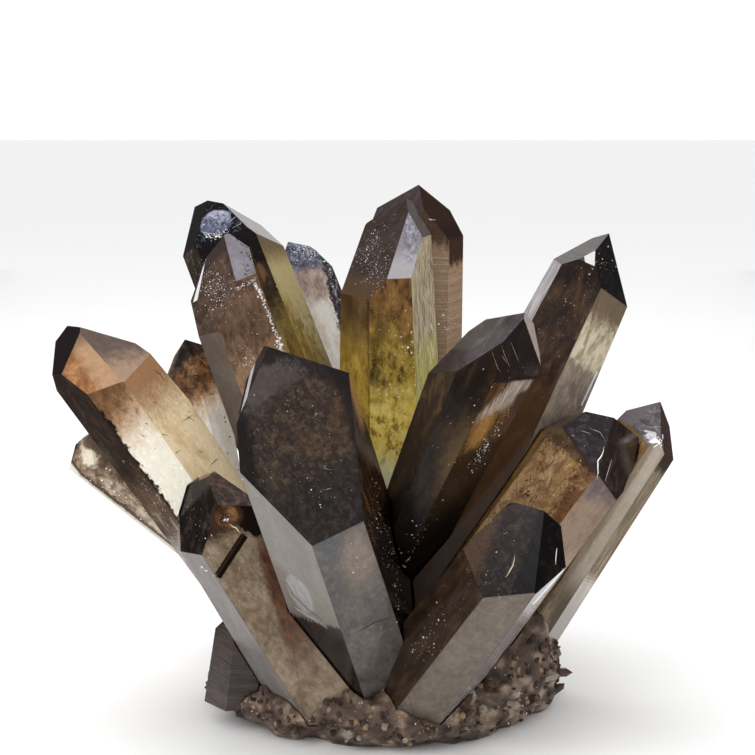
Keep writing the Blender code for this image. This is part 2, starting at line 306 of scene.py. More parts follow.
    def blob(self, centre, radii, soft=0.35, k=0, rough=0.0):
        """1 inside an ellipsoid of the crystal's own frame, with a soft, optionally ragged, rim."""
        offset = self.add("VectorMath", {0: self.locals[k], 1: centre}, operation="SUBTRACT")
        scaled = self.add("VectorMath", {0: offset.outputs["Vector"], 1: radii}, operation="DIVIDE")
        length = self.add("VectorMath", {0: scaled.outputs["Vector"]}, operation="LENGTH")
        value = length.outputs["Value"]
        if rough:
            wander = self.math("SUBTRACT", self.noise((1.6, 1.6), 0.0, 1.0, 5.0, k), 0.5)
            value = self.math("ADD", value, self.math("MULTIPLY", wander, rough))
        return self.step(value, 1.0 + soft, 1.0 - soft)

    def grain(self):
        """Fine light and dark speckle all over."""
        value = self.fractal((0.7, 0.9), seed=71, rough=0.85)
        for low, high, gain in ((0.5, 0.3, 0.3), (0.52, 0.72, 2.4)):
            scaled = self.add("VectorMath", {0: self.colour, "Scale": gain}, operation="SCALE")
            self.paint(scaled.outputs["Vector"], self.step(value, low, high), strength=GRAIN)

    def edges(self, colour, strength):
        """A fine dark line painted along the edges between the larger faces, on the front half only:
        painted shade for the dark outline that the edges show.
        """
        total = None
        for normal, offset in main_faces(self.obj):
            near = self.step(self.plane_distance(normal, offset), EDGE_WIDTH * MM, 0.0)
            total = near if total is None else self.math("ADD", total, near)
        line = self.math("SUBTRACT", total, 1.0, clamp=True)
        self.paint(colour, line, self.zone("Y", 1.0, -1.0), strength=strength)

    def striations(self, strength):
        """Growth lines straight across the prism faces."""
        thin = {"Scale": 1.0, "Detail": 6.0, "Roughness": 0.7,
                "Vector": self.stretched((0.03, 0.03, 2.6), 0)}
        wide = {"Scale": 0.22, "Detail": 3.0, "Vector": self.locals[0]}
        lines, waves = self.add("TexNoise", thin), self.add("TexNoise", wide)
        height = self.math("ADD", lines.outputs["Fac"], waves.outputs["Fac"])
        bump = self.add("Bump", {"Strength": strength, "Distance": 0.3 * MM, "Height": height})
        self.feed(self.bsdf.inputs["Normal"], bump.outputs["Normal"])

    def finish(self, clear, smoke, density, lines, edge=EDGE, edge_shade_colour=EDGE_SHADE_COLOUR, shine=0.5, glow=0.0,
               deep=1.0):
        """Grain, painted dark edge lines (painted shade) and growth lines, then the see-through part: how
        clear, the smoke's colour and how thick it is per millimetre. Above 1, deep darkens the surface and
        gives it contrast. Glow is painted light: the surface gives off light in its own colour."""
        self.grain()
        if edge:
            self.edges(edge_shade_colour, edge)
        self.striations(lines)
        if deep != 1.0:
            self.colour = self.add("Gamma", {"Color": self.colour, "Gamma": deep}).outputs["Color"]
        settings = {"Base Color": self.colour, "Transmission Weight": clear, "IOR": QUARTZ_IOR,
                    "Roughness": QUARTZ_ROUGHNESS, "Specular IOR Level": shine}
        # glow is painted light: the surface gives off light in its own colour, standing in for light
        # carried through the crystal
        if glow:
            settings.update({"Emission Color": self.colour, "Emission Strength": glow})
        for socket, value in settings.items():
            self.feed(self.bsdf.inputs[socket], value)
        absorb = self.add("VolumeAbsorption", {"Color": tone(*smoke), "Density": density / MM})
        self.links.new(absorb.outputs["Volume"], self.nodes["Material Output"].inputs["Volume"])
        self.obj.data.materials.clear()
        self.obj.data.materials.append(self.material)


def face_planes(obj):
    """{(normal, offset in mm): area in mm2} of a node's flat faces."""
    planes = {}
    for polygon in obj.data.polygons:
        normal = polygon.normal
        offset = normal.dot(polygon.center) / MM
        for key in planes:
            if key[0].dot(normal) > 0.9999 and abs(key[1] - offset) < 0.08:
                planes[key] += polygon.area / MM ** 2
                break
        else:
            planes[(normal.copy().freeze(), offset)] = polygon.area / MM ** 2
    return planes


PLANES = {}


def planes_of(obj):
    if obj.name not in PLANES:
        PLANES[obj.name] = face_planes(obj)
    return PLANES[obj.name]


def nearest_face(obj, normal):
    """(normal, offset) of the node's face that turns most nearly that way."""
    sizeable = [key for key, area in planes_of(obj).items() if area > SIZEABLE_FACE]
    best = max(sizeable, key=lambda key: key[0].dot(normal))
    if best[0].dot(normal) < 0.9985:
        print("scene: no close face on", obj.name, tuple(round(c, 2) for c in normal))
    return best


def main_faces(obj):
    return [key for key, area in planes_of(obj).items() if area > MAIN_FACE]


# ---------------------------------------------------------------- the crystals' looks
def left_look(obj):
    """Pale, nearly clear crystal with a dark smoky left side and a brown tip."""
    s = Shader("left_crystal", obj, ["left"])
    body, right, dark = s.face(3.2, -0.9), s.face(63.2, -0.9), s.face(-56.8, -0.9)
    tip, shoulder, edge = s.face(16.2, 43.7), s.face(60.1, 36.4), s.face(-40.5, 63.3)
    s.smoke((232, 212, 184), (84, 64, 52), 200, 4.0)
    s.paint((255, 250, 236), body)
    s.paint((214, 184, 152), body, s.ragged(UP, -5, 6, 2.4, (2, 3), seed=1))
    s.paint((146, 114, 84), body, s.ragged((-0.5, 0, 1), -1, 7, 2.4, (1.5, 2), seed=2))
    s.cover((255, 236, 200), (214, 178, 134), None, right, size=(3, 5), seed=3, strength=0.8)
    s.paint((178, 140, 106), right, s.ragged(UP, -4, 7, 2.4, seed=4))
    s.mottle((96, 73, 52), (196, 158, 124), s.zone("Z", -1, 4), body, size=(0.8, 1.2), seed=198)
    s.paint((128, 92, 64), body, s.ragged((-0.6, 0, 1), 2, 5, 1.6, (0.9, 1.4), seed=5), strength=0.5)
    s.cover((58, 45, 36), (34, 26, 23), (104, 80, 62), dark, size=(1.8, 2.6), seed=7, strength=0.8)
    low = s.ragged(DOWN, 6, 15, 2.0, (2, 2), seed=8)
    s.paint((128, 108, 94), dark, low, strength=0.8)
    s.mottle((80, 62, 52), (196, 180, 158), dark, low, size=(1.5, 2.2), seed=9, strength=0.8)
    # painted shade: a ragged dark band along the body face's left edge, the dark side seen through the edge
    s.paint((46, 33, 27), s.ragged(LEFT, -0.3, 0.15, 1.1, (1.1, 1.5), seed=10), s.zone("Z", 9, 7), body)
    s.paint((44, 31, 26), s.ragged(LEFT, 1.2, 0.3, 0.8, (0.9, 1.3), seed=11), dark, strength=0.9)
    s.cover((168, 124, 88), (116, 80, 56), (206, 166, 128), tip, size=(1.4, 2.0), seed=12)
    s.paint((190, 162, 134), tip, s.ragged((1, 0, 0.2), 3.0, 5.5, 1.0, seed=13), strength=0.7)
    s.paint((60, 46, 36), tip, s.ragged(LEFT, 2.0, 4.4, 1.2, (1, 1.4), seed=14))
    s.paint((98, 78, 66), tip, s.zone("Z", 17, 22), strength=0.7)
    s.cover((98, 80, 70), (80, 66, 58), (122, 102, 90), shoulder, size=(2, 3), seed=15, strength=0.6)
    s.paint((196, 164, 136), shoulder, s.ragged((-0.6, 0, -1), -17.0, -13.0, 1.2, seed=6), strength=0.6)
    s.paint((34, 27, 25), edge)
    # glow: painted light, the crystal gives off a little light in its own colour
    s.finish(0.2, (226, 206, 180), 0.012, 0.12, edge=0, glow=0.06, deep=1.18)


def left_lower_look(obj):
    """Short cloudy crystal with a clear strip along its underside."""
    s = Shader("left_lower_crystal", obj, ["left_lower"])
    s.cover((154, 130, 110), (76, 56, 49), (236, 222, 200), size=(1.4, 2.0), seed=16, strength=1.2)
    s.paint((240, 228, 206), s.ragged(DOWN, 9, 15, 1.6, seed=27), strength=0.6)
    s.paint((70, 53, 48), s.ragged(RIGHT, 1.0, 2.6, 1.2, (1.2, 2), seed=17), strength=0.85)
    s.paint((46, 36, 36), s.ragged((-0.35, 0, 1), 7.6, 8.6, 0.6, (1, 1), seed=18))
    s.paint((244, 232, 208), s.blob((1.0, -2, 5.4), (1.5, 4, 2.0), 0.2, rough=1.2))
    s.paint((90, 68, 58), s.ragged(LEFT, 1.9, 2.3, 0.3, seed=19), s.ragged(RIGHT, -3.0, -2.6, 0.2, seed=19))
    s.paint((238, 234, 222), s.ragged(LEFT, 2.7, 3.1, 0.2, seed=19))
    # glow: painted light, the crystal gives off a little light in its own colour
    s.finish(0.36, (220, 200, 176), 0.012, 0.12, edge=0.3, edge_shade_colour=(90, 76, 66), glow=0.12, deep=0.93)


def left_small_look(obj):
    s = Shader("left_small_crystal", obj, ["left_small"])
    s.cover(WHITE, (220, 200, 170), None, size=(2, 3), seed=20)
    s.paint((206, 168, 132), s.ragged((-0.35, 0, 1), -5, 0, 1.6, (1.2, 2), seed=21))
    s.paint((214, 206, 192), s.ragged(RIGHT, 0.6, 3.0, 0.8, seed=19), s.zone("Z", -2, -6), strength=0.7)
    s.paint((108, 82, 60), s.ragged((-0.35, 0, 1), -1.5, 1.5, 1.6, (1.1, 1.8), seed=22))
    s.mottle((44, 36, 32), (160, 118, 82), s.zone("Z", -2, 1), size=(1.0, 1.3), seed=23, strength=1.2)
    s.paint((40, 34, 31), s.ragged((-0.5, 0, 1), 5.5, 7.5, 1.4, (1.3, 1.6), seed=24))
    s.mottle((26, 24, 24), (84, 80, 80), s.zone("Z", 6, 8), size=(1.2, 1.6), seed=25, strength=0.7)
    s.paint((60, 46, 36), s.dots(1.2, 0.2, 0.35, seed=26), s.zone("X", 0, 2), s.zone("Z", 2, -2))
    for hidden in (s.ragged(DOWN, 19.5, 25, 1.6, seed=28), s.ragged(BACK, 0.2, 1.6, 0.8, seed=29)):
        s.paint((132, 108, 84), hidden, strength=0.9)
        s.mottle((92, 74, 58), (170, 144, 116), hidden, size=(1.6, 2.4), seed=30, strength=0.8)
    # glow: painted light, the crystal gives off a little light in its own colour
    s.finish(0.25, (226, 210, 184), 0.01, 0.12, glow=0.32, deep=1.12)


def tall_left_look(obj):
    """Two crystals in one solid: the nearer is brown with specks, the farther olive with a broken tip."""
    s = Shader("tall_left_pair", obj, ["tall_left", "tall_left_back"])
    s.smoke((104, 86, 62), (44, 37, 34), 205, 8.0)
    near_left, near_front = s.face(-29.6, 0.7), s.face(30.4, 0.7)
    # painted sheen: the nearer crystal's lower left face is painted grey as the reflection it shows
    s.cover((120, 110, 103), (96, 86, 80), (142, 130, 121), near_left, size=(2, 5), seed=30, strength=0.6)
    near_right = s.face(90.4, 0.7)
    s.paint((88, 68, 44), near_right)
    s.paint((234, 204, 122), near_right, s.ragged(DOWN, -5, 5, 2.0, seed=29))
    s.mottle((54, 43, 30), (160, 126, 66), near_right, s.zone("Z", -4, 4), size=(0.8, 2.0), seed=28,
             strength=1.1)
    s.paint((132, 102, 82), near_front)
    s.paint((214, 172, 136), near_front, s.ragged(DOWN, -2, 5, 2, (2, 3), seed=31), strength=0.75)
    s.mottle((64, 44, 36), (176, 144, 116), near_front, size=(1.0, 1.7), seed=32)
    tip_left, painted_sheen = s.face(-29.6, 38.7), s.face(30.4, 38.7)
    s.cover((90, 72, 62), (52, 40, 36), (128, 108, 98), tip_left, size=(1.2, 1.8), seed=34)
    s.paint((66, 56, 54), tip_left, s.slant((-0.5, 0, 1), 13.4, 15.0), strength=0.8)
    # painted sheen: the nearer tip's sheen facet is painted light lilac grey as a reflection, with dark
    # spots at its right
    s.cover((140, 134, 144), (112, 104, 110), (168, 166, 178), painted_sheen, size=(2, 4), seed=35, strength=0.7)
    s.paint((62, 54, 54), painted_sheen, s.noise((0.8, 1.4), 0.56, 0.62, seed=36), s.zone("X", 5.0, 5.8))
    far_right, far_left, far_front = s.face(65.5, 0.8, 1), s.face(-54.5, 0.8, 1), s.face(5.5, 0.8, 1)
    s.cover((190, 160, 84), (128, 100, 46), (222, 198, 124), far_right, size=(1.5, 4), k=1, seed=37)
    s.paint((232, 214, 160), far_right, s.ragged((1, 0, 0.2), 5.0, 7.0, 0.8, (1.2, 3), 1, 38),
            s.zone("Z", 10, 4, 1), strength=0.85)
    s.paint((66, 48, 32), far_right, s.ragged((-1, 0, 0.1), -4.6, -3.8, 1.4, (1, 2.2), 1, 39))
    s.paint((132, 114, 100), far_right, s.ragged((0.5, 0, 1), 7, 13, 1.2, k=1, seed=40), strength=0.9)
    s.mottle((70, 56, 34), None, far_right, s.zone("Z", 0, -8, 1), size=(0.7, 1.2), k=1, seed=49,
             strength=0.9)
    s.paint((212, 196, 158), far_right, s.zone("Z", -14, -20, 1), strength=0.7)
    s.cover((66, 57, 48), (44, 38, 36), (134, 110, 92), far_left, size=(1.6, 3), k=1, seed=41)
    s.paint((64, 50, 38), far_front)
    s.paint((170, 142, 76), far_front, s.ragged((0.5, 0, -1), 2, 8, 2.0, k=1, seed=48))
    s.mottle((46, 38, 28), (150, 122, 66), far_front, s.zone("Z", 6, 2, 1), size=(0.8, 1.6), k=1, seed=47)
    s.paint((26, 22, 22), far_front, s.ragged((0.2, 0, 1), 7.6, 8.4, 0.5, k=1, seed=42))
    s.paint((160, 118, 80), far_front, s.blob((3.6, -6, 5.0), (1.3, 4, 2.2), 0.4, 1, 0.8))
    taupe, broken = s.face(84.8, 32.4, 1), s.face(1.8, 42.0, 1)
    s.paint((88, 77, 74), taupe)
    s.paint((86, 74, 72), taupe, s.zone("Z", 8, 14, 1), strength=0.6)
    s.paint((128, 116, 112), s.face(118.5, 47.9, 1))
    s.paint((26, 24, 28), broken)
    s.paint((30, 28, 30), s.face(-62.7, 44.8, 1))
    # the farther tip's glassy break: a real shell-shaped fracture, painted lilac, white and blue as the
    # reflection it shows (painted reflection)
    shell = s.blob((-1.2, -4.2, 17.6), (3.4, 4, 2.7), 0.12, 1, 0.35)
    s.paint((96, 100, 126), broken, shell)
    s.paint((186, 190, 214), broken, shell, s.slant((0.4, 0, 1), 16.0, 18.0, 1), strength=0.8)
    s.paint((206, 210, 228), broken, shell, s.noise((0.9, 2.4), 0.52, 0.6, 8, 1, 43, 1.5, 0.7))
    s.paint((44, 44, 70), broken, shell, s.noise((0.6, 2.2), 0.5, 0.4, 8, 1, 44, 1.0, 0.7), strength=0.8)
    s.paint((110, 114, 128), broken, s.noise((0.9, 2.0), 0.56, 0.62, 8, 1, 45, 1.5, 0.7), strength=0.8)
    s.finish(0.42, (200, 172, 130), 0.035, 0.12, edge=0, shine=0.15)


def pale_look(obj):
    """Pale crystal with a frosted, sparkling tip."""
    s = Shader("pale_crystal", obj, ["pale"])
    s.cover(WHITE, (226, 204, 180), None, size=(2, 4), seed=50)
    s.paint((204, 186, 176), s.ragged((0.2, 0, 1), -2, 2, 1.6, (1.4, 2), seed=51), strength=0.9)
    s.mottle((140, 122, 120), (232, 220, 212), s.zone("Z", -2, 2), size=(0.9, 1.6), seed=52)
    s.paint((128, 132, 150), s.ragged((0.2, 0, 1), 5.5, 8.5, 1.6, seed=53))
    s.mottle((78, 80, 96), (214, 218, 230), s.zone("Z", 6.5, 8.5), size=(0.6, 0.8), seed=54, strength=1.1)
    rim = s.ragged((1, 0, -0.05), 2.9, 3.3, 0.7, (0.8, 1.4), seed=55)
    s.cover((92, 90, 98), (54, 52, 60), (244, 244, 246), rim, size=(0.6, 1.0), seed=56, strength=0.9)
    for hidden in (s.ragged(DOWN, 16, 23, 1.6, seed=57), s.ragged(BACK, 0.2, 1.6, 0.8, seed=58)):
        s.paint((146, 128, 112), hidden, strength=0.85)
        s.mottle((104, 88, 76), (184, 166, 148), hidden, size=(1.6, 2.4), seed=59, strength=0.7)
    # glow: painted light, the crystal gives off a little light in its own colour
    s.finish(0.3, (236, 230, 216), 0.008, 0.15, edge=0, glow=0.22, deep=1.32)


def centre_look(obj):
    """The nearer crystal goes from brown to yellow-green downward; the farther is brown and striated."""
    s = Shader("centre_pair", obj, ["centre", "centre_back"])
    s.smoke((130, 112, 84), (78, 64, 56), 210, 6.0)
    front, left, right = s.face(5.9, 2.0), s.face(-54.1, 2.0), s.face(65.9, 2.0)
    s.cover((148, 112, 66), (60, 42, 28), (178, 136, 88), front, size=(1.2, 2.4), seed=60, strength=1.2)
    middle = s.ragged(DOWN, -1, 11, 3.0, (1.6, 2.4), seed=61)
    s.cover((176, 150, 72), (66, 50, 26), (214, 190, 104), front, middle, size=(1.2, 1.9), seed=62,
            strength=1.4)
    bottom = s.ragged(DOWN, 11, 22, 3.0, (1.6, 2.4), seed=63)
    s.cover((255, 226, 120), (124, 98, 44), (255, 240, 160), front, bottom, size=(1.1, 1.5), seed=64,
            strength=1.3)
    s.paint((255, 252, 214), front, s.zone("Z", -27, -36))
    s.paint((255, 252, 220), front, s.dots(1.3, 0.17, 0.3, seed=65), s.zone("Z", -2, -6))
    s.cover((110, 86, 60), (72, 54, 40), (140, 116, 82), left, size=(1.6, 3.0), seed=66)
    s.paint((178, 150, 72), left, s.ragged(DOWN, 1, 13, 2.6, (1.6, 2.4), seed=67))
    s.paint((66, 48, 32), left, s.ragged(RIGHT, -5.4, -4.6, 0.5, (0.5, 3), seed=59), strength=0.7)
    s.mottle((96, 74, 34), (222, 200, 100), left, s.zone("Z", -6, -12), size=(1.6, 2.2), seed=68)
    s.paint((206, 190, 164), right)
    s.paint((222, 212, 134), right, s.zone("Z", -4, -12))
    s.mottle((104, 88, 62), (250, 244, 214), right, size=(0.45, 3.2), seed=69, warp=1.2, strength=0.9)
    tip_left, painted_sheen = s.face(-54.1, 39.7), s.face(5.9, 39.7)
    s.cover((78, 68, 64), (56, 48, 45), (100, 89, 84), tip_left, size=(2.0, 2.6), seed=70, strength=0.8)
    s.paint((104, 84, 66), tip_left, s.ragged(DOWN, -6.5, -4.5, 0.8, seed=71), strength=0.8)
    # painted sheen: the sheen facet is painted light lilac grey as a reflection, lighter at the top, with a
    # dark feather in it
    s.paint((140, 137, 148), painted_sheen)
    s.paint((176, 172, 178), painted_sheen, s.zone("Z", 12, 8))
    feather = s.times(s.zone("Z", 8, 9.5), s.ragged(RIGHT, 2.0, 3.2, 0.9, (0.5, 1.8), seed=72))
    s.mottle((70, 66, 78), (206, 204, 214), painted_sheen, feather, size=(0.6, 2.4), seed=73)
    s.paint((108, 100, 100), s.face(65.9, 39.7))
    s.paint((80, 71, 74), s.face(-51.1, 39.1, 1))
    s.paint((104, 88, 82), s.face(-51.1, 39.1, 1), s.noise((1.5, 4), 0.48, 0.6, k=1, seed=74), strength=0.7)
    far_tip, far_side = s.face(68.9, 39.1, 1), s.face(68.9, 2.2, 1)
    s.paint((124, 104, 92), far_tip)
    s.paint((66, 44, 36), far_tip, s.slant((0.5, 0, 1), 17.4, 17.0, 1))
    s.paint((52, 36, 30), far_tip, s.ragged(DOWN, -12.6, -11.8, 0.8, k=1, seed=75))
    s.cover((204, 174, 144), (156, 124, 100), (240, 220, 194), far_side, size=(9, 0.28), k=1, seed=76,
            warp=0, strength=0.6)
    s.paint((84, 58, 42), far_side, s.ragged(UP, 3.4, 5.4, 1.4, (0.8, 2.4), 1, 77))
    far_front = s.face(8.9, 2.2, 1)
    s.cover((178, 152, 126), (146, 116, 92), (234, 214, 190), far_front, size=(9, 0.28), k=1, seed=76,
            warp=0, strength=0.7)
    s.paint((84, 60, 46), far_front, s.ragged(UP, 7.0, 10.0, 1.4, (0.8, 2.4), 1, 78), strength=0.9)
    # glow: painted light, the crystal gives off a little light in its own colour
    s.finish(0.32, (224, 206, 150), 0.015, 0.2, edge=0, glow=0.05, deep=1.15)


def right_tall_look(obj):
    """Smoky brown crystal with a pale right side and a black tip face."""
    s = Shader("right_tall_crystal", obj, ["right_tall"])
    s.smoke((112, 96, 80), (44, 36, 34), 215, 5.0)
    front, right, left = s.face(-18.4, 2.8), s.face(41.6, 2.8), s.face(-78.4, 2.8)
    s.cover((74, 57, 45), (42, 31, 26), (118, 92, 72), front, size=(1.5, 3.4), seed=80, strength=1.2)
    s.paint((40, 30, 27), front, s.ragged(UP, 0.5, 3.5, 1.8, (1.2, 2.2), seed=81), strength=0.9)
    s.paint((84, 58, 42), front, s.noise((1.2, 3), 0.53, 0.62, 8, seed=82, rough=0.7), s.zone("Z", 0, 3))
    s.paint((132, 94, 64), front, s.ragged((1, 0, 0.3), -1.9, -1.4, 0.5, (0.8, 3), seed=83),
            s.ragged((-1, 0, -0.3), 0.5, 1.0, 0.5, (0.8, 3), seed=83), s.zone("Z", 7, 4),
            s.zone("Z", -6, -2), strength=0.3)
    s.paint((92, 68, 48), front, s.zone("Z", -14, -24), strength=0.8)
    s.paint((140, 122, 102), right)
    s.paint((238, 226, 198), right, s.ragged((0.3, 0, 1), -13, -8, 2.4, seed=85),
            s.ragged(DOWN, 0, 6, 2.0, seed=86))
    s.mottle((132, 112, 86), (255, 250, 228), right, s.zone("Z", 0, -3), size=(1.2, 2.2), seed=87,
             strength=0.8)
    s.paint((166, 152, 138), right, s.ragged(DOWN, 11, 13, 1.2, seed=88))
    s.mottle((120, 110, 104), (206, 190, 166), right, s.zone("Z", -11, -13), size=(1.2, 2.6), seed=89)
    # painted sheen: the narrow left face is painted pale as the reflection of the bright surroundings
    s.cover((206, 200, 202), (132, 122, 132), (250, 248, 252), left, size=(0.5, 5), seed=90, warp=0.6)
    top, tip = s.face(-71.6, 42.8), s.face(43.4, 39.4)
    # painted sheen: the top face is painted grey with lighter streaks as a reflection
    s.cover((76, 70, 68), (76, 70, 68), (132, 126, 124), top, size=(6, 0.5), seed=91, warp=0.6,
            strength=0.7)
    s.cover((30, 25, 27), (20, 18, 20), (74, 64, 64), tip, size=(1.4, 2), seed=92, strength=0.7)
    # painted highlight: a white patch on the tip face
    s.paint((235, 232, 232), s.face(-18.9, 37.4), s.slant((1, 0, 0.5), 0.4, 0.7))
    s.finish(0.32, (200, 172, 140), 0.03, 0.12, deep=1.13)


def front_right_look(obj):
    """Nearly black crystal with a pale broken window in its right side, painted on as an inner reflection.
    """
    s = Shader("front_right_crystal", obj, ["front_right"])
    s.smoke((48, 40, 34), (38, 33, 32), 220, 6.0)
    left, front, right = s.face(-64.7, -2.4), s.face(-4.7, -2.4), s.face(55.3, -2.4)
    s.cover((52, 44, 36), (30, 26, 23), (98, 76, 48), left, size=(2, 4), seed=100)
    s.cover((40, 32, 27), (22, 19, 18), (76, 54, 36), front, size=(1.6, 5), seed=101)
    s.paint((104, 80, 50), front, s.blob((1.5, -8, -9), (3.6, 6, 9), 0.6, rough=0.8), strength=0.75)
    s.cover((80, 56, 36), (40, 30, 25), (128, 92, 54), right, size=(1.6, 4), seed=102)
    s.paint((160, 118, 66), right, s.blob((2.9, -3.4, -3.4), (2.0, 4, 5.5), 0.5, rough=0.9), strength=0.8)
    # painted reflection: the pale streaked window in the right face is an inner reflection painted on
    streaks = s.ragged((1, 0, -0.55), -0.6, 1.0, 1.6, (0.35, 3.0), seed=103)
    window = s.times(s.ragged(UP, -0.6, 1.4, 1.6, (0.4, 2.4), seed=104), streaks, s.zone("X", 9.2, 8.2))
    s.paint((160, 145, 133), right, window, strength=0.85)
    s.mottle((120, 100, 88), (220, 208, 198), right, window, size=(0.5, 3), seed=105, strength=0.8)
    s.paint((70, 52, 42), right, s.zone("X", 6.0, 7.6), s.ragged(DOWN, -4, -2.5, 1.2, (0.4, 2), seed=106))
    s.paint((22, 19, 18), right, s.ragged(DOWN, 7, 10, 2.0, seed=107), strength=0.85)
    s.paint((18, 16, 15), s.zone("Z", -18, -30), strength=0.9)
    top, black, grey = s.face(-94.6, 29.8), s.face(57.9, 7.9), s.face(90.9, 31.7)
    # painted sheen: the top face is painted grey as a reflection, with a darker part
    s.cover((66, 61, 64), (46, 42, 44), (106, 99, 97), top, size=(4, 1.6), seed=108, strength=0.8)
    s.paint((40, 36, 36), top, s.ragged((-1, 0, -0.6), -1.5, 3, 1.4, seed=109), strength=0.8)
    s.cover((36, 28, 27), (22, 18, 19), (70, 48, 38), black, size=(1.4, 3), seed=110, strength=0.7)
    s.cover((196, 184, 176), (150, 138, 132), None, grey, size=(1.2, 2), seed=111, strength=0.6)
    s.finish(0.14, (150, 120, 90), 0.11, 0.08, shine=0.06)


def front_look(obj):
    """The big dark crystal: a mottled nearly black face over prism faces painted light grey as a painted
    sheen.
    """
    s = Shader("front_crystal", obj, ["front"])
    s.smoke((60, 51, 44), (40, 35, 33), 225, 0.0)
    big, left, front, right = s.face(17.6, 39.2), s.face(-42.4, 0.8), s.face(17.6, 0.8), s.face(77.6, 0.8)
    s.cover((66, 54, 47), (60, 48, 44), (122, 92, 64), big, size=(3.6, 4.4), seed=120, strength=0.7)
    s.mottle((56, 46, 43), (132, 112, 98), big, size=(0.8, 1.0), seed=121, strength=0.75)
    s.mottle(None, (98, 80, 44), big, s.zone("Z", 3, 8), size=(1.8, 2.2), seed=118, strength=0.7)
    s.mottle((34, 29, 29), (104, 96, 96), big, size=(0.45, 0.6), seed=119, strength=0.55)
    s.paint((106, 98, 96), big, s.ragged((-0.2, 0, 1), 16.5, 19, 1.4, seed=122), strength=0.6)
    s.paint((42, 37, 38), big, s.ragged((-0.1, 0, -1), -8, -3.0, 2.4, (1.6, 2), seed=123), strength=0.65)
    s.mottle((30, 27, 28), (84, 80, 80), big, s.zone("Z", 5, 2), size=(0.7, 0.9), seed=124, strength=0.7)
    rim = s.ragged((-1, 0, 0.05), 7.4, 9.4, 1.2, seed=125)
    s.paint((30, 26, 27), big, rim, strength=0.9)
    s.paint((42, 37, 37), big, s.ragged((0.62, 0, 0.78), 16.0, 18.6, 1.6, (0.8, 1.2), seed=126),
            strength=0.9)
    s.paint((40, 34, 32), big, s.ragged(UP, 21, 22.5, 0.8, seed=127), strength=0.9)
    s.paint((36, 31, 30), big, s.ragged((1, 0, 0.1), 9.0, 10.4, 0.8, seed=128), strength=0.8)
    # painted sheen: the left prism face is painted light grey as the reflection of the bright surroundings
    s.cover((144, 138, 130), (126, 120, 114), (162, 154, 145), left, size=(2.4, 5), seed=129, strength=0.6)
    lens = s.blob((-8.0, -11, -19.4), (2.3, 5, 5.0), 0.12, rough=0.25)
    s.cover((170, 168, 166), (146, 145, 146), (194, 194, 194), left, lens, size=(0.8, 2.4), seed=130,
            strength=0.7)
    s.paint((40, 33, 33), left, s.ragged((0.25, 0, -1), 23.6, 24.2, 1.6, (0.3, 2.6), seed=131))
    s.mottle((24, 20, 22), (82, 68, 62), left, s.zone("Z", -25, -27), size=(0.6, 3.4), seed=132)
    # painted sheen: the front prism face is painted grey as the reflection of the bright table, lighter low
    # down
    s.paint((92, 90, 90), front)
    s.paint((120, 112, 108), front, s.zone("Z", -12, -22), strength=0.8)
    s.mottle((76, 74, 76), (136, 124, 112), front, size=(2.4, 3.4), seed=133, strength=0.8)
    s.paint((166, 148, 134), front, s.blob((4.5, -14, -11), (3.5, 6, 7), 0.6, rough=0.6), strength=0.7)
    s.paint((90, 96, 104), front, s.blob((0.8, -15, -4), (2.4, 4, 5), 0.5, rough=0.5), strength=0.7)
    s.mottle((108, 96, 88), (176, 158, 142), front, size=(0.7, 1.0), seed=134, strength=0.4)
    s.cover((56, 44, 34), (30, 25, 23), (150, 104, 62), right, size=(0.9, 4), seed=135)
    s.paint((206, 154, 92), right, s.ragged((-0.2, 0, 1), 0, 5, 2.0, (0.6, 3), seed=136),
            s.zone("X", 10.2, 11.0), strength=0.8)
    # painted shade: the right face is darker low down, where it faces the neighbouring crystal
    s.paint((22, 19, 18), right, s.zone("Z", -8, -16), strength=0.8)
    s.paint((40, 34, 32), s.face(-102.4, 39.2))
    # painted highlight: a thin white glint across the upper left face
    s.paint((220, 218, 222), s.face(-102.4, 39.2), s.zone("Z", 17.3, 17.6), s.zone("Z", 19.1, 18.8))
    s.finish(0.3, (140, 115, 95), 0.12, 0.08, edge=0.3, shine=0.35, deep=1.1)


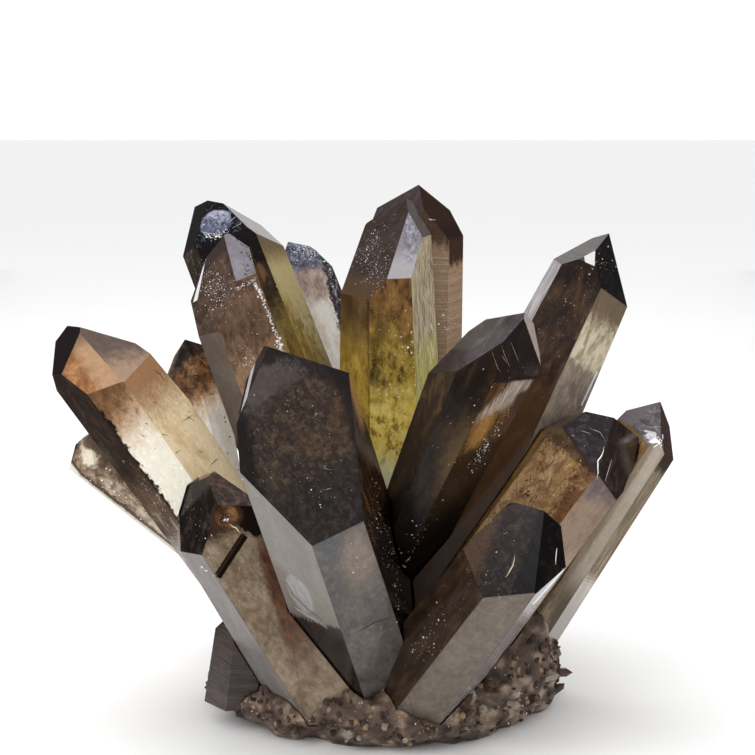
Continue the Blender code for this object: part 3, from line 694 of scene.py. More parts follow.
def front_left_look(obj):
    """Brown see-through crystal with a dark tip, an amber bubble painted on as an inner refraction, and a
    dark bar inside.
    """
    s = Shader("front_left_crystal", obj, ["front_left"])
    s.smoke((104, 90, 76), (44, 36, 33), 230, 2.0)
    tip, body, left = s.face(-54.1, 45.0), s.face(5.0, 3.0), s.face(-55.0, 3.0)
    s.cover((40, 33, 30), (20, 16, 16), (96, 80, 70), tip, size=(1.6, 2.6), seed=140, strength=0.8)
    crown = s.face(55.4, 48.3)
    s.cover((70, 54, 46), (34, 26, 24), (124, 98, 82), crown, size=(1.0, 1.2), seed=139, strength=1.2)
    s.paint((146, 128, 108), body)
    s.paint((160, 142, 122), body, s.zone("Z", -12, -26), strength=0.6)
    s.mottle((96, 80, 62), (184, 168, 152), body, size=(2.4, 3.2), seed=142, strength=0.8)
    s.mottle((94, 74, 56), (186, 166, 142), body, size=(0.7, 1.0), seed=143, strength=0.5)
    s.paint((74, 56, 42), body, s.ragged((0.2, 0, 1), 2.0, 4.0, 1.2, seed=144))
    stripe = s.times(s.ragged((1, 0, -0.27), 7.0, 8.4, 0.6, (1, 2.4), seed=145), s.zone("Z", -1, -5),
                     s.zone("Z", -30, -20))
    s.paint((98, 62, 46), body, stripe, strength=0.8)
    s.mottle((60, 40, 32), (134, 92, 66), body, stripe, size=(1, 2), seed=146, strength=0.8)
    s.paint((34, 25, 21), body, s.ragged((1, 0, 0.4), 6.8, 7.2, 0.5, seed=147),
            s.ragged(UP, -2.2, -1.2, 0.6, seed=148))
    # painted reflection: the amber bubble is an inner refraction painted on the face
    ball = s.blob((6.0, -5.6, 5.0), (2.4, 6, 2.4), 0.35, rough=0.7)
    s.cover((110, 78, 54), (56, 38, 28), (168, 128, 92), body, ball, size=(0.8, 0.8), seed=149,
            strength=1.3)
    s.paint((30, 21, 17), body, s.bar((6.6, 0.1), (-1.9, -4.1), 1.5))
    s.paint((60, 42, 34), body, s.bar((6.6, 0.4), (-1.9, -3.8), 0.5))
    # painted sheen: the left prism face is painted grey as a reflection
    s.cover((136, 130, 126), (120, 112, 108), (158, 152, 148), left, size=(2, 6), seed=150, strength=0.6)
    s.finish(0.24, (180, 150, 122), 0.06, 0.1, shine=0.05, deep=1.08)


def lower_right_look(obj):
    """Dark domed tip over a front face painted grey as a painted sheen, brown on the left."""
    s = Shader("lower_right_crystal", obj, ["lower_right"])
    s.smoke((76, 64, 54), (34, 28, 28), 235, 3.0)
    big, black = s.face(-52.1, 46.5), s.face(69.9, 54.7)
    front, left, right = s.face(5.7, 1.9), s.face(-54.3, 1.9), s.face(65.7, 1.9)
    s.cover((46, 38, 38), (36, 30, 31), (92, 76, 70), big, size=(1.2, 3.6), seed=160)
    s.mottle((38, 32, 32), (104, 88, 80), big, size=(0.5, 0.8), seed=161, strength=0.5)
    s.paint((94, 70, 50), big, s.ragged(LEFT, 4.6, 6.4, 1.2, (1.2, 2.4), seed=162), strength=0.8)
    s.paint((24, 20, 24), big, s.ragged((1, 0, 0.1), 0.6, 1.4, 0.8, (0.9, 1.6), seed=163))
    s.paint((120, 84, 62), big, s.ragged(DOWN, -2.6, -1.6, 0.8, (0.5, 2), seed=164), s.zone("X", -2, 0),
            strength=0.7)
    s.cover((22, 18, 20), None, (70, 52, 44), black, size=(1.2, 1.6), seed=165, strength=0.6)
    s.cover((68, 53, 42), (34, 27, 24), (106, 82, 62), left, size=(1.2, 4), seed=166)
    # painted sheen: the front face is painted grey as the reflection of the bright table
    s.cover((130, 118, 106), (110, 100, 92), (150, 138, 122), front, size=(3, 4), seed=167, strength=0.7)
    s.mottle((100, 90, 82), (166, 152, 136), front, size=(0.7, 1.0), seed=168, strength=0.4)
    s.paint((186, 180, 178), right)
    s.paint((96, 86, 98), right, s.slant((1, 1, 0), 7.0, 7.6))
    s.finish(0.3, (140, 115, 95), 0.12, 0.08, edge=0.3, shine=0.3, deep=1.1)


def right_short_look(obj):
    """Amber body with dark scribbles under a dark purplish head."""
    s = Shader("right_short_crystal", obj, ["right_short"])
    s.smoke((150, 118, 78), (70, 56, 50), 240, 2.0)
    head, cheek = s.face(-15.0, 30.3), s.face(44.7, 32.5)
    grey, body = s.face(34.6, 0.0), s.face(-25.4, 0.0)
    s.cover((62, 56, 60), (36, 32, 35), (116, 107, 116), head, size=(2.6, 1.4), seed=170, warp=1.4,
            strength=0.8)
    s.paint((96, 74, 60), head, s.ragged((1, 0, -0.2), -1.2, 0.2, 0.8, seed=171), strength=0.7)
    s.cover((62, 48, 42), (34, 27, 25), (116, 92, 76), cheek, size=(1.2, 2), seed=172)
    s.paint((144, 132, 130), grey)
    s.paint((196, 172, 150), grey, s.ragged((0.2, 0, -1), 1.5, 6, 1.4, seed=173), strength=0.8)
    s.mottle((116, 102, 98), (196, 180, 164), grey, size=(1.3, 2.4), seed=174, strength=0.5)
    s.paint((184, 150, 106), body)
    s.paint((148, 108, 72), body, s.ragged((1, 0, 0.1), -4.4, -2.4, 1.2, (1.4, 2.6), seed=175))
    s.mottle((118, 84, 56), (238, 208, 162), body, size=(1.3, 2.0), seed=176, warp=1.0)
    s.paint((58, 36, 22), body, s.veins((2.6, 3.4), 0.016, seed=177, warp=1.2),
            s.noise((3, 4), 0.42, 0.54, seed=178))
    s.paint((54, 34, 24), body, s.ragged(UP, 0.4, 1.4, 1.0, seed=179), strength=0.7)
    s.finish(0.3, (200, 160, 110), 0.04, 0.12, deep=1.2)


def right_far_look(obj):
    """Slim cream crystal with a chipped dark tip."""
    s = Shader("right_far_crystal", obj, ["right_far"])
    s.smoke((172, 154, 132), (78, 62, 54), 245, 4.0)
    pale, tan, gold = s.face(0.1, 0.5), s.face(60.1, 0.5), s.face(-59.9, 0.5)
    s.paint((224, 210, 192), pale)
    s.paint((176, 158, 134), pale, s.ragged(LEFT, 0.8, 2.0, 0.5, (0.6, 4), seed=180))
    s.paint((104, 91, 73), pale, s.zone("Z", -18, -28), strength=0.9)
    s.mottle((196, 176, 148), None, pale, size=(1.2, 5), seed=181, strength=0.6)
    s.cover((180, 162, 138), (132, 112, 86), (246, 230, 202), tan, size=(1.0, 5), seed=182)
    s.paint((72, 56, 44), tan, s.ragged(UP, 3.4, 6, 1.2, (0.8, 2), seed=183))
    s.paint((132, 122, 106), tan, s.zone("Z", -20, -30), strength=0.8)
    s.paint((184, 142, 92), gold)
    s.paint((120, 102, 80), gold, s.zone("Z", 0, -10))
    s.mottle((92, 66, 40), (226, 188, 136), gold, size=(0.9, 2.4), seed=184, strength=0.7)
    tip, side = s.face(-50.8, 35.1), s.face(59.5, 44.2)
    s.paint((128, 116, 120), s.face(-59.7, 33.2))
    s.cover((112, 102, 108), (56, 49, 54), (196, 190, 200), tip, size=(2.2, 1.0), seed=185, warp=1.0,
            strength=0.8)
    s.paint((236, 238, 242), tip, s.blob((-1.8, -4.6, 9.4), (1.9, 2.6, 1.4), 0.08, rough=1.6))
    s.cover((72, 40, 32), (40, 24, 22), (110, 68, 54), side, size=(1, 1.4), seed=186)
    s.finish(0.42, (214, 190, 160), 0.025, 0.12)


def left_stub_look(obj):
    s = Shader("left_stub_crystal", obj, ["left_stub"])
    s.cover((60, 45, 42), (32, 24, 24), (104, 80, 68), size=(9, 0.5), seed=190, warp=0.3)
    s.mottle((34, 26, 26), (96, 74, 64), size=(1.2, 1.2), seed=191, strength=0.5)
    s.finish(0.3, (150, 120, 100), 0.1, 0.35)


def back_look(obj, key, body, tip, clear, density, seed):
    """A crystal of the unseen back, in the same mineral: smoky tip, clearer foot."""
    s = Shader(obj.name, obj, [key])
    s.smoke(body, tip, seed)
    s.paint(WHITE, s.dots(1.1, 0.15, 0.12, seed=seed + 5))
    s.finish(clear, (180, 152, 122), density, 0.14)


# ---------------------------------------------------------------- rock, floor, light, camera
def rock_look(obj):
    material = bpy.data.materials.new("matrix")
    material.use_nodes = True
    nodes, links = material.node_tree.nodes, material.node_tree.links
    shader = nodes["Principled BSDF"]
    place = nodes.new("ShaderNodeTexCoord").outputs["Object"]
    grain = nodes.new("ShaderNodeTexNoise")
    grain.inputs["Scale"].default_value = 260.0
    grain.inputs["Detail"].default_value = 8.0
    links.new(place, grain.inputs["Vector"])
    ramp = nodes.new("ShaderNodeValToRGB")
    ramp.color_ramp.elements[0].position = 0.32
    ramp.color_ramp.elements[0].color = tone(38, 29, 25)
    ramp.color_ramp.elements[1].position = 0.72
    ramp.color_ramp.elements[1].color = tone(168, 147, 128)
    middle = ramp.color_ramp.elements.new(0.52)
    middle.color = tone(94, 76, 64)
    links.new(grain.outputs["Fac"], ramp.inputs["Fac"])
    links.new(ramp.outputs["Color"], shader.inputs["Base Color"])
    bump = nodes.new("ShaderNodeBump")
    bump.inputs["Strength"].default_value = 0.8
    bump.inputs["Distance"].default_value = 0.6 * MM
    links.new(grain.outputs["Fac"], bump.inputs["Height"])
    links.new(bump.outputs["Normal"], shader.inputs["Normal"])
    shader.inputs["Roughness"].default_value = 0.55
    obj.data.materials.clear()
    obj.data.materials.append(material)


def plain_material(name, colour, roughness, **more):
    """A single-colour material; more names other inputs of its shader, with _ for a space."""
    material = bpy.data.materials.new(name)
    material.use_nodes = True
    shader = material.node_tree.nodes["Principled BSDF"]
    for socket, value in {"Base_Color": colour, "Roughness": roughness, **more}.items():
        shader.inputs[socket.replace("_", " ")].default_value = value
    return material


def add_mesh(name, verts, faces, material):
    mesh = bpy.data.meshes.new(name)
    mesh.from_pydata([tuple(c * MM for c in v) for v in verts], [], faces)
    obj = bpy.data.objects.new(name, mesh)
    bpy.context.scene.collection.objects.link(obj)
    mesh.materials.append(material)
    return obj


def add_floor():
    r = FLOOR_REACH
    corners = [(-r, -r, 0.0), (r, -r, 0.0), (r, r, 0.0), (-r, r, 0.0)]
    add_mesh("floor", corners, [(0, 1, 2, 3)], plain_material("floor", FLOOR_COLOUR, 0.7))


def add_softbox(name, place, aim, size, power):
    light = bpy.data.lights.new(name, "AREA")
    light.shape = "RECTANGLE"
    light.size, light.size_y = size[0] * MM, size[1] * MM
    light.energy = power
    obj = bpy.data.objects.new(name, light)
    bpy.context.scene.collection.objects.link(obj)
    obj.location = Vector(place) * MM
    obj.rotation_euler = (Vector(aim) - Vector(place)).to_track_quat("-Z", "Y").to_euler()
    obj.visible_camera = False
    obj.visible_glossy = False


def dark_card(name, verts, faces, glow):
    """A dark card that only reflections and refractions see."""
    material = plain_material(name, (0.0, 0.0, 0.0, 1.0), 0.5, Specular_IOR_Level=0.0,
                              Emission_Color=(1.0, 1.0, 1.0, 1.0), Emission_Strength=glow)
    card = add_mesh(name, verts, faces, material)
    card.visible_camera = False
    card.visible_diffuse = False
    card.visible_shadow = False


def add_floor_flag():
    """The table is dark away from the cluster, but for a strip behind it."""
    count = 40
    verts, faces = [], []
    for i in range(count + 1):
        around = radians(-158.0 + 316.0 * i / count)
        for reach in (FLOOR_GLOW_RADIUS, FLAG_RADIUS):
            verts.append((reach * sin(around), -reach * cos(around), 0.4))
    for i in range(count):
        faces.append((2 * i, 2 * i + 1, 2 * i + 3, 2 * i + 2))
    dark_card("flag_floor", verts, faces, 0.06)


def add_flag(name, start, end, low, high, glow):
    """A curved dark flag that only reflections and refractions see: azimuths from the viewer's side."""
    count = 24
    verts, faces = [], []
    for i in range(count + 1):
        around = radians(start + (end - start) * i / count)
        for level in (low, high):
            rise = radians(level)
            height = FLAG_MIDDLE + FLAG_RADIUS * sin(rise) / cos(rise)
            verts.append((FLAG_RADIUS * sin(around), -FLAG_RADIUS * cos(around), height))
    for i in range(count):
        faces.append((2 * i, 2 * i + 2, 2 * i + 3, 2 * i + 1))
    dark_card(name, verts, faces, glow)


def add_light():
    world = bpy.data.worlds.new("studio")
    bpy.context.scene.world = world
    world.use_nodes = True
    world.node_tree.nodes["Background"].inputs["Color"].default_value = (1.0, 1.0, 1.0, 1.0)
    world.node_tree.nodes["Background"].inputs["Strength"].default_value = WORLD_STRENGTH
    add_flag("flag_right", 55, 162, -30, 50, 0.05)
    add_flag("flag_left", -55, -162, -30, 74, 0.05)
    add_flag("flag_front", -55, 55, -12, 55, 0.25)
    add_flag("flag_back", 162, 198, 24, 72, 0.5)
    add_floor_flag()
    add_softbox("top", (-60, 60, 600), (0, 0, 40), (520, 520), 2.2)
    add_softbox("left", (-500, -250, 450), (0, 0, 50), (260, 300), 1.0)


def add_camera():
    camera = bpy.data.cameras.new("camera")
    obj = bpy.data.objects.new("camera", camera)
    bpy.context.scene.collection.objects.link(obj)
    tilt = radians(CAMERA_ELEVATION)
    ahead = Vector((0.0, cos(tilt), -sin(tilt)))
    target = Vector((SHIFT.x, SHIFT.y, CAMERA_TARGET_Z))
    obj.location = (target - ahead * CAMERA_DISTANCE) * MM
    obj.rotation_euler = ahead.to_track_quat("-Z", "Y").to_euler()
    camera.angle = 2.0 * atan(FRAME_HALF_WIDTH / CAMERA_DISTANCE)
    camera.clip_start = 0.01
    bpy.context.scene.camera = obj


# ---------------------------------------------------------------- specks, scratches and chips
def surface_of(obj):
    mesh = obj.data
    return BVHTree.FromPolygons([v.co for v in mesh.vertices], [tuple(p.vertices) for p in mesh.polygons])


class Skin:
    """A node's surface as its crystal's front shows it."""

    def __init__(self, obj, key):
        self.stance = Stance(key)
        self.tree = surface_of(obj)

    def at(self, x, z):
        """(place in mm, normal) of the surface at X and Z of the crystal's frame, or None."""
        stance = self.stance
        start = stance.heart + stance.right * x + stance.axis * z + stance.front * 60.0
        place, normal, _, _ = self.tree.ray_cast(start * MM, -stance.front)
        return None if place is None else (place / MM, normal)


class Bits:
    """Small pieces gathered by shade, one mesh each."""

    def __init__(self):
        self.rng = random.Random(11)
        self.heaps = {}
        self.skin = None

    def on(self, obj, key):
        """The surface that the next pieces lie on."""
        self.skin = Skin(obj, key)

    def put(self, shade, verts, faces):
        heap = self.heaps.setdefault(shade, ([], []))
        first = len(heap[0])
        heap[0].extend(verts)
        heap[1].extend([tuple(first + i for i in face) for face in faces])

    def flake(self, shade, place, normal, size, tilt=0.6):
        rng = self.rng
        axis = (normal + Vector([rng.uniform(-tilt, tilt) for _ in range(3)])).normalized()
        u = axis.orthogonal().normalized()
        v = axis.cross(u)
        count = rng.randint(3, 5)
        start, flat = rng.uniform(0, 2 * pi), rng.uniform(0.45, 1.0)
        middle = place + normal * 0.03
        verts = []
        for i in range(count):
            angle = start + 2 * pi * i / count
            verts.append(middle + (u * cos(angle) + v * sin(angle) * flat) * size * rng.uniform(0.7, 1.2))
        verts += [middle + axis * size * 0.3, middle - axis * size * 0.3]
        faces = [(i, (i + 1) % count, count) for i in range(count)]
        faces += [((i + 1) % count, i, count + 1) for i in range(count)]
        self.put(shade, verts, faces)

    def dust(self, shade, centre, reach, count, size):
        """Flakes scattered about (X, Z) of a crystal's face."""
        for _ in range(count):
            spot = self.skin.at(self.rng.gauss(centre[0], reach[0]), self.rng.gauss(centre[1], reach[1]))
            if spot:
                self.flake(shade, spot[0], spot[1], size * min(2.0, 0.35 + self.rng.expovariate(2.6)))

    def chips(self, shade, points, count, size, spread=0.3):
        """Flakes along a line through (X, Z) points."""
        for _ in range(count):
            leg = self.rng.randrange(len(points) - 1)
            part = self.rng.random()
            x = points[leg][0] + (points[leg + 1][0] - points[leg][0]) * part + self.rng.gauss(0, spread)
            z = points[leg][1] + (points[leg + 1][1] - points[leg][1]) * part + self.rng.gauss(0, spread)
            spot = self.skin.at(x, z)
            if spot:
                self.flake(shade, spot[0], spot[1], size * min(1.8, 0.4 + self.rng.expovariate(2.2)))

    def stroke(self, shade, points, width, wobble=0.08):
        """A raised hair or crack through (X, Z) points, thin at both ends."""
        places = []
        for (xa, za), (xb, zb) in zip(points, points[1:]):
            steps = max(2, int(((xb - xa) ** 2 + (zb - za) ** 2) ** 0.5 / 0.45))
            for i in range(steps + (1 if (xb, zb) == points[-1] else 0)):
                x = xa + (xb - xa) * i / steps + self.rng.uniform(-wobble, wobble)
                z = za + (zb - za) * i / steps + self.rng.uniform(-wobble, wobble)
                spot = self.skin.at(x, z)
                if spot:
                    places.append(spot)
        if len(places) < 3:
            return
        verts, faces = [], []
        last = len(places) - 1
        for i, (place, normal) in enumerate(places):
            ahead = places[min(i + 1, last)][0] - places[max(i - 1, 0)][0]
            across = normal.cross(ahead).normalized()
            half = 0.5 * width * (0.15 + 0.85 * min(1.0, 3.0 * min(i, last - i) / last))
            verts += [place - across * half - normal * 0.05, place + across * half - normal * 0.05,
                      place + normal * (0.04 + 0.3 * half)]
            if i:
                a, b = 3 * i - 3, 3 * i
                for j in range(3):
                    k = (j + 1) % 3
                    faces.append((a + j, a + k, b + k, b + j))
        faces += [(2, 1, 0), (3 * last, 3 * last + 1, 3 * last + 2)]
        self.put(shade, verts, faces)

    def plate(self, shade, corners, lift=0.06):
        """A thin facet through (X, Z) corners, painted pale as a bright sliver: a painted highlight."""
        spots = [self.skin.at(*corner) for corner in corners]
        if None in spots:
            print("scene: a plate corner misses", corners)
            return
        count = len(spots)
        front = [place + normal * lift for place, normal in spots]
        behind = [place - normal * 0.1 for place, normal in spots]
        faces = [tuple(range(count)), tuple(reversed(range(count, 2 * count)))]
        faces += [(i, count + i, count + (i + 1) % count, (i + 1) % count) for i in range(count)]
        self.put(shade, front + behind, faces)


# the white pieces glow a little: painted light, so that they stay bright as glints in shade
SHADES = {
    "white": ((0.9, 0.9, 0.88, 1.0), 0.25, 0.06),
    "silver": ((0.62, 0.62, 0.64, 1.0), 0.3, 0.0),
    "cream": (tone(226, 204, 168), 0.35, 0.0),
    "amber": (tone(156, 114, 76), 0.3, 0.0),
    "brown": (tone(92, 62, 42), 0.4, 0.0),
    "dark": (tone(34, 25, 21), 0.45, 0.0),
}


def add_specks(nodes):
    """What the crystals carry on their faces: glittering dust, chips, hairs, cracks and clear slivers; the
    white pieces glow as painted glints, and the slivers are pale plates, painted highlights.
    """
    bits = Bits()
    bits.on(nodes["tall_left_pair"], "tall_left")
    bits.dust("white", (-0.3, 11.6), (1.7, 2.2), 260, 0.10)
    bits.dust("white", (-2.0, 14.5), (1.6, 2.6), 60, 0.08)
    bits.dust("cream", (3.5, 5.0), (3.0, 6.0), 90, 0.09)
    bits.dust("white", (0.6, -3.6), (1.5, 1.7), 110, 0.11)
    bits.chips("white", [(7.2, 10.2), (7.5, 8.0), (7.6, 3.0), (7.7, -1.0), (7.6, -5.0)], 230, 0.17, 0.16)
    bits.chips("white", [(7.6, -2.0), (7.5, -5.4)], 60, 0.2, 0.35)
    bits.chips("silver", [(3.2, 10.6), (7.9, 11.0)], 60, 0.16, 0.25)
    bits.plate("silver", [(-1.5, 16.6), (-2.0, 16.1), (-5.9, 10.4), (-4.9, 10.6)])
    bits.on(nodes["tall_left_pair"], "tall_left_back")
    bits.chips("white", [(-3.8, 15.9), (-1.4, 14.9), (0.6, 15.6)], 70, 0.14, 0.3)
    bits.chips("cream", [(-2.4, 15.4), (0.0, 15.2)], 30, 0.12, 0.25)
    for points in ([(1.2, 17.4), (3.6, 19.6)], [(1.4, 16.8), (4.4, 18.0)], [(-4.6, 17.4), (-3.4, 15.2)],
                   [(2.0, 15.6), (5.0, 15.9)]):
        bits.stroke("silver", points, 0.2)
    bits.dust("cream", (5.0, -4.0), (2.0, 7.0), 60, 0.09)
    bits.dust("dark", (5.6, 2.0), (1.4, 6.0), 60, 0.10)

    bits.on(nodes["pale_crystal"], "pale")
    bits.dust("white", (0.8, 11.0), (2.2, 1.3), 260, 0.17)
    bits.dust("silver", (1.5, 9.5), (2.2, 1.2), 90, 0.18)
    bits.chips("white", [(4.3, 8.0), (4.4, -10.0)], 80, 0.13, 0.3)
    bits.chips("dark", [(4.0, 5.0), (4.2, -8.0)], 70, 0.14, 0.35)

    bits.on(nodes["centre_pair"], "centre")
    bits.dust("white", (-4.0, 9.0), (2.0, 2.6), 420, 0.085)
    bits.dust("white", (-2.0, 13.5), (1.8, 2.6), 90, 0.07)
    bits.dust("cream", (1.0, -4.0), (3.0, 7.0), 130, 0.09)
    bits.chips("cream", [(3.6, 0.0), (3.4, -16.0)], 18, 0.2, 0.4)
    bits.dust("white", (3.4, -7.6), (0.6, 0.7), 10, 0.22)
    bits.dust("cream", (0.8, -20.0), (2.2, 4.5), 70, 0.15)
    for i in range(26):
        x, z = bits.rng.uniform(5.2, 8.4), bits.rng.uniform(-9.0, 11.0)
        bits.stroke(bits.rng.choice(["cream", "white", "brown"]),
                    [(x, z), (x + 0.5, z - bits.rng.uniform(1.5, 4.0))], 0.11)
    bits.on(nodes["centre_pair"], "centre_back")
    bits.dust("white", (6.3, -7.0), (1.2, 2.4), 90, 0.12)
    bits.dust("cream", (5.4, -1.0), (1.6, 4.0), 60, 0.10)
    bits.stroke("white", [(0.6, 13.9), (2.4, 13.4)], 0.25)

    bits.on(nodes["right_tall_crystal"], "right_tall")
    bits.dust("cream", (-2.5, -3.0), (2.6, 8.0), 90, 0.09)
    bits.dust("white", (2.0, 8.0), (1.8, 3.0), 24, 0.12)
    bits.dust("amber", (0.5, 2.0), (1.8, 5.0), 60, 0.10)
    bits.plate("silver", [(9.6, -11.0), (10.0, -11.4), (10.0, -18.8), (9.7, -18.8)], 0.1)

    bits.on(nodes["front_right_crystal"], "front_right")
    for points in ([(-0.9, 17.2), (2.6, 11.4)], [(0.8, 17.0), (4.0, 11.8)], [(-2.2, 15.6), (1.2, 11.2)],
                   [(-0.2, 15.2), (1.6, 12.8)]):
        bits.stroke("cream", points, 0.07, 0.02)
    bits.dust("silver", (-6.0, 18.0), (2.6, 3.0), 60, 0.09)
    bits.dust("cream", (2.0, -4.0), (3.0, 7.0), 90, 0.10)
    bits.chips("white", [(6.6, -1.0), (5.6, -9.0), (6.4, -16.0)], 50, 0.17, 0.5)
    bits.chips("silver", [(5.2, -7.0), (5.0, -14.0)], 50, 0.16, 0.6)
    bits.chips("white", [(-0.6, -26.0), (-0.8, -40.0)], 30, 0.15, 0.9)
    bits.chips("amber", [(0.0, -22.0), (-0.6, -42.0)], 40, 0.14, 1.2)

    bits.on(nodes["front_crystal"], "front")
    bits.dust("silver", (1.5, 3.5), (4.0, 1.6), 40, 0.08)
    bits.dust("silver", (0.5, 11.0), (4.5, 5.5), 120, 0.08)
    bits.dust("amber", (0.0, 11.0), (4.5, 5.5), 90, 0.08)
    bits.dust("cream", (4.2, -10.5), (1.6, 3.0), 10, 0.22)
    bits.stroke("silver", [(2.6, 6.0), (4.4, 5.2)], 0.08)
    bits.stroke("silver", [(2.2, 3.2), (3.6, 3.0)], 0.1)
    bits.stroke("dark", [(0.8, -28.0), (4.2, -27.7), (7.9, -28.7)], 0.34, 0.05)
    bits.stroke("dark", [(-9.9, -17.2), (-9.4, -20.4), (-7.6, -23.0), (-5.4, -24.6)], 0.3, 0.04)
    for i in range(14):
        x = -10.0 + 0.36 * i
        bits.stroke("silver", [(x, -24.2 - 0.1 * i), (x + 0.45, -25.2 - 0.14 * i)], 0.06, 0.02)
    bits.chips("amber", [(10.6, -2.0), (9.6, -12.0), (9.4, -24.0), (8.8, -34.0)], 90, 0.13, 0.6)
    bits.chips("white", [(9.4, -8.0), (9.6, -20.0), (8.8, -32.0)], 30, 0.17, 0.6)

    bits.on(nodes["front_left_crystal"], "front_left")
    bits.chips("white", [(4.2, 5.6), (5.2, 4.2), (6.2, 4.6)], 24, 0.13, 0.3)
    bits.stroke("cream", [(5.2, 3.6), (6.0, 2.2), (6.2, 0.6)], 0.4)
    bits.dust("silver", (-0.4, 4.0), (1.4, 2.6), 40, 0.10)
    bits.dust("cream", (1.0, -10.0), (2.4, 6.0), 60, 0.10)
    bits.chips("white", [(-4.2, -2.0), (-3.2, -2.6), (-2.2, -3.8)], 30, 0.13, 0.3)

    bits.on(nodes["lower_right_crystal"], "lower_right")
    bits.dust("silver", (-3.0, 5.0), (2.6, 3.0), 60, 0.09)
    bits.dust("amber", (-6.0, 0.0), (1.6, 6.0), 50, 0.07)
    bits.chips("white", [(-6.4, -10.0), (-5.6, -24.0)], 34, 0.13, 0.9)
    bits.chips("amber", [(-6.0, -6.0), (-5.6, -24.0)], 36, 0.12, 1.0)
    bits.stroke("white", [(5.6, 9.0), (6.4, 7.8)], 0.3)
    bits.plate("white", [(8.6, 6.4), (8.3, 6.8), (6.4, 0.4), (6.8, 0.0)], 0.08)
    bits.stroke("cream", [(-1.2, 7.6), (-0.8, 6.6), (-1.3, 5.2)], 0.3)

    bits.on(nodes["right_short_crystal"], "right_short")
    bits.stroke("white", [(-1.1, 6.4), (-0.7, 4.6), (-0.9, 3.4), (0.9, 0.6)], 0.36, 0.1)
    bits.dust("cream", (-7.0, -2.0), (2.4, 5.0), 110, 0.11)
    bits.dust("dark", (-7.0, -3.0), (2.2, 4.0), 60, 0.12)
    for points in ([(-8.6, 0.6), (-7.4, -1.6), (-7.6, -3.6)], [(-6.8, 0.0), (-5.4, -1.8)],
                   [(-9.4, -3.0), (-7.0, -5.2)], [(-6.0, -4.0), (-5.0, -7.0)]):
        bits.stroke("dark", points, 0.2, 0.14)
    for points in ([(-5.4, 7.4), (-3.0, 8.0), (-1.2, 7.2)], [(-6.6, 6.0), (-4.4, 6.8)],
                   [(2.0, 5.0), (2.8, 1.0)]):
        bits.stroke("silver", points, 0.16, 0.06)

    bits.on(nodes["right_far_crystal"], "right_far")
    bits.chips("white", [(-3.4, 9.6), (-1.4, 10.4), (-0.4, 9.0)], 40, 0.2, 0.3)
    bits.plate("white", [(-2.8, 8.6), (-1.6, 8.2), (-0.9, 9.8), (-2.0, 10.0)], 0.12)
    bits.plate("silver", [(-1.6, 10.8), (-0.6, 11.4), (-0.3, 10.6)], 0.12)
    bits.stroke("silver", [(-3.8, 11.0), (-1.8, 12.4)], 0.2)
    bits.dust("cream", (0.0, -8.0), (1.8, 8.0), 60, 0.10)

    bits.on(nodes["left_crystal"], "left")
    for points in ([(11.0, 7.4), (11.3, 5.4), (11.2, 4.4)], [(10.0, -3.8), (11.6, -4.4)],
                   [(10.9, -3.4), (11.4, -5.6)],
                   [(6.8, -2.6), (7.2, -3.8)], [(6.4, -7.2), (7.6, -7.6)], [(9.6, -13.8), (11.2, -14.4)],
                   [(9.4, -10.2), (9.8, -11.2)], [(3.4, -0.4), (3.9, -1.6)], [(5.4, 1.0), (5.8, 0.2)],
                   [(8.2, 3.0), (8.6, 2.2)]):
        bits.stroke("dark", points, 0.24, 0.12)
    bits.dust("brown", (7.5, -2.0), (2.6, 5.5), 110, 0.10)
    bits.dust("dark", (1.5, 7.0), (2.4, 2.6), 70, 0.10)
    bits.dust("cream", (-2.6, -14.0), (1.6, 5.0), 90, 0.13)
    bits.on(nodes["left_lower_crystal"], "left_lower")
    bits.dust("white", (-0.6, -3.0), (1.6, 5.0), 110, 0.14)
    bits.dust("dark", (-0.6, 2.0), (1.6, 4.0), 60, 0.14)
    bits.on(nodes["left_small_crystal"], "left_small")
    bits.dust("dark", (1.6, -2.0), (1.4, 3.0), 60, 0.11)
    bits.dust("cream", (0.6, 4.0), (1.6, 2.0), 40, 0.10)
    for key, name in (("back_centre", "back_centre_crystal"), ("back_left", "back_left_crystal"),
                      ("back_right", "back_right_crystal")):
        bits.on(nodes[name], key)
        bits.skin.stance.front = -bits.skin.stance.front
        bits.dust("white", (0.0, 4.0), (3.0, 8.0), 120, 0.10)
        bits.dust("cream", (0.0, -6.0), (3.0, 8.0), 90, 0.11)

    for shade, (verts, faces) in bits.heaps.items():
        colour, roughness, glow = SHADES[shade]
        name = "specks_" + shade
        material = plain_material(name, colour, roughness, Emission_Color=colour, Emission_Strength=glow)
        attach(add_mesh(name, verts, faces, material), "root")


# ---------------------------------------------------------------- the matrix's crust
def quartz_point(rng, place, up, radius, length):
    """A small six-sided point standing on the rock."""
    u = up.orthogonal().normalized()
    v = up.cross(u)
    turn = rng.uniform(0, pi / 3)
    verts = []
    for level, reach in ((-0.5 * radius, 1.0), (length * rng.uniform(0.45, 0.7), 0.94)):
        for i in range(6):
            angle = turn + i * pi / 3
            verts.append(place + up * level + (u * cos(angle) + v * sin(angle)) * radius * reach)
    verts.append(place + up * length + u * radius * rng.uniform(-0.2, 0.2))
    faces = [tuple(reversed(range(6)))]
    faces += [(i, (i + 1) % 6, 6 + (i + 1) % 6, 6 + i) for i in range(6)]
    faces += [(6 + i, 6 + (i + 1) % 6, 12) for i in range(6)]
    return verts, faces


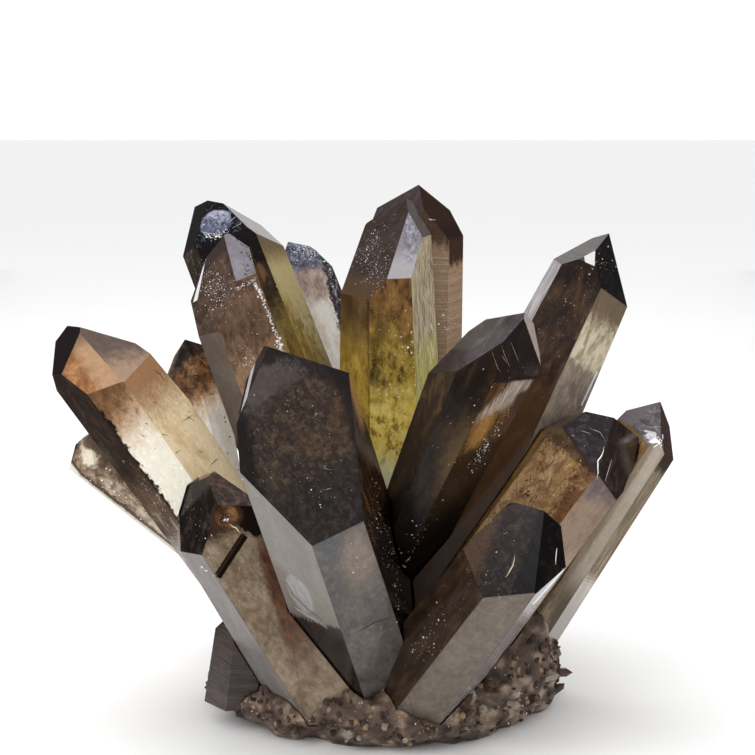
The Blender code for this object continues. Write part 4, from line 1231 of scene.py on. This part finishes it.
def rock_lump(rng, place, up, size):
    """A rough grain of rock."""
    u = up.orthogonal().normalized()
    v = up.cross(u)
    verts = []
    for level, reach, count in ((-0.4, 1.0, 5), (0.35, 0.75, 5)):
        for i in range(count):
            angle = 2 * pi * i / count + level
            out = size * reach * rng.uniform(0.65, 1.25)
            lift = up * size * (level + rng.uniform(-0.15, 0.15))
            verts.append(place + lift + (u * cos(angle) + v * sin(angle)) * out)
    verts.append(place + up * size * rng.uniform(0.5, 0.9))
    faces = [(4, 3, 2, 1, 0)] + [(i, (i + 1) % 5, 5 + (i + 1) % 5, 5 + i) for i in range(5)]
    faces += [(5 + i, 5 + (i + 1) % 5, 10) for i in range(5)]
    return verts, faces


CRUST_START = 70.0                      # the search for rock goes inward from this radius
CRUST_LEVELS = (1.6, 21.0)              # between these heights
CRUST_ASIDE = 12.0


def add_crust(nodes):
    """Small quartz points, grains and glitter over the rock, wherever the rock is the outermost thing."""
    rng = random.Random(5)
    trees = {name: surface_of(node) for name, node in nodes.items()}
    bits = Bits()
    wanted = {"point": 420, "lump": 2600, "glint": 1300}
    for kind, count in wanted.items():
        for _ in range(count):
            around, level = rng.uniform(0, 2 * pi), rng.uniform(*CRUST_LEVELS)
            aside = rng.uniform(-CRUST_ASIDE, CRUST_ASIDE)
            out = Vector((sin(around), -cos(around), 0.0))
            inward = (-out + Vector((0, 0, rng.uniform(-0.9, 0.1)))).normalized()
            across = Vector((out.y, -out.x, 0.0))
            start = SHIFT + out * CRUST_START + across * aside + Vector((0, 0, level)) - inward * 4.0
            first, hit = None, None
            for name, tree in trees.items():
                place, normal, _, distance = tree.ray_cast(start * MM, inward)
                if place is not None and (first is None or distance < first):
                    first, hit = distance, (name, place / MM, normal)
            if hit is None or hit[0] != "matrix" or hit[1].z < 1.3:
                continue
            place, normal = hit[1], hit[2]
            sway = Vector([rng.uniform(-0.5, 0.5) for _ in range(3)])
            up = (normal + sway + Vector((0, 0, 0.25))).normalized()
            if kind == "point":
                radius = rng.uniform(0.35, 1.1)
                if place.z < 3.0:
                    radius *= 0.6
                shade = rng.choice(["smoky", "smoky", "clear"])
                bits.put(shade, *quartz_point(rng, place, up, radius, radius * rng.uniform(1.6, 3.2)))
            elif kind == "lump":
                size = rng.uniform(0.25, 0.9)
                bits.put(rng.choice(["rock", "rock", "umber", "tan"]), *rock_lump(rng, place, up, size))
            else:
                bits.flake(rng.choice(["white", "silver", "tan"]), place + normal * 0.15, normal,
                           rng.uniform(0.1, 0.24), 0.9)
    looks = {
        "smoky": (tone(92, 72, 58), 0.1, 0.35), "clear": (tone(190, 176, 158), 0.1, 0.5),
        "rock": (tone(70, 53, 42), 0.7, 0.0), "umber": (tone(44, 33, 28), 0.7, 0.0),
        "tan": (tone(140, 114, 88), 0.6, 0.0),
        "white": (tone(240, 236, 228), 0.25, 0.0), "silver": (tone(160, 158, 158), 0.3, 0.0),
    }
    for shade, (verts, faces) in bits.heaps.items():
        colour, roughness, clear = looks[shade]
        name = "crust_" + shade
        material = plain_material(name, colour, roughness, Transmission_Weight=clear, IOR=QUARTZ_IOR)
        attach(add_mesh(name, verts, faces, material), "root")


LOOKS = {
    "left_crystal": left_look,
    "left_lower_crystal": left_lower_look,
    "left_small_crystal": left_small_look,
    "tall_left_pair": tall_left_look,
    "pale_crystal": pale_look,
    "centre_pair": centre_look,
    "right_tall_crystal": right_tall_look,
    "front_right_crystal": front_right_look,
    "front_crystal": front_look,
    "front_left_crystal": front_left_look,
    "lower_right_crystal": lower_right_look,
    "right_short_crystal": right_short_look,
    "right_far_crystal": right_far_look,
    "left_stub_crystal": left_stub_look,
    "matrix": rock_look,
}


# body, tip, how clear, density, seed
BACK_LOOKS = {
    "back_centre": ((150, 128, 104), (62, 50, 44), 0.5, 0.05, 50),
    "back_left": ((110, 92, 76), (44, 38, 36), 0.45, 0.07, 53),
    "back_right": ((196, 178, 152), (96, 76, 58), 0.6, 0.03, 56),
    "back_low_left": ((140, 116, 90), (70, 56, 46), 0.5, 0.05, 59),
    "back_low": ((120, 98, 76), (52, 43, 38), 0.45, 0.06, 62),
}


def main():
    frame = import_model()
    nodes = frame["nodes"]
    for name, look in LOOKS.items():
        look(nodes[name])
    for key, how in BACK_LOOKS.items():
        back_look(nodes[key + "_crystal"], key, *how)
    add_specks(nodes)
    add_crust(nodes)
    add_floor()
    add_light()
    add_camera()
    scene = bpy.context.scene
    scene.view_settings.view_transform = "Standard"
    scene.cycles.max_bounces = 20
    scene.cycles.transmission_bounces = 16
    scene.cycles.glossy_bounces = 6
    scene.cycles.use_denoising = True
    scene.cycles.caustics_refractive = False
    scene.cycles.caustics_reflective = False


main()
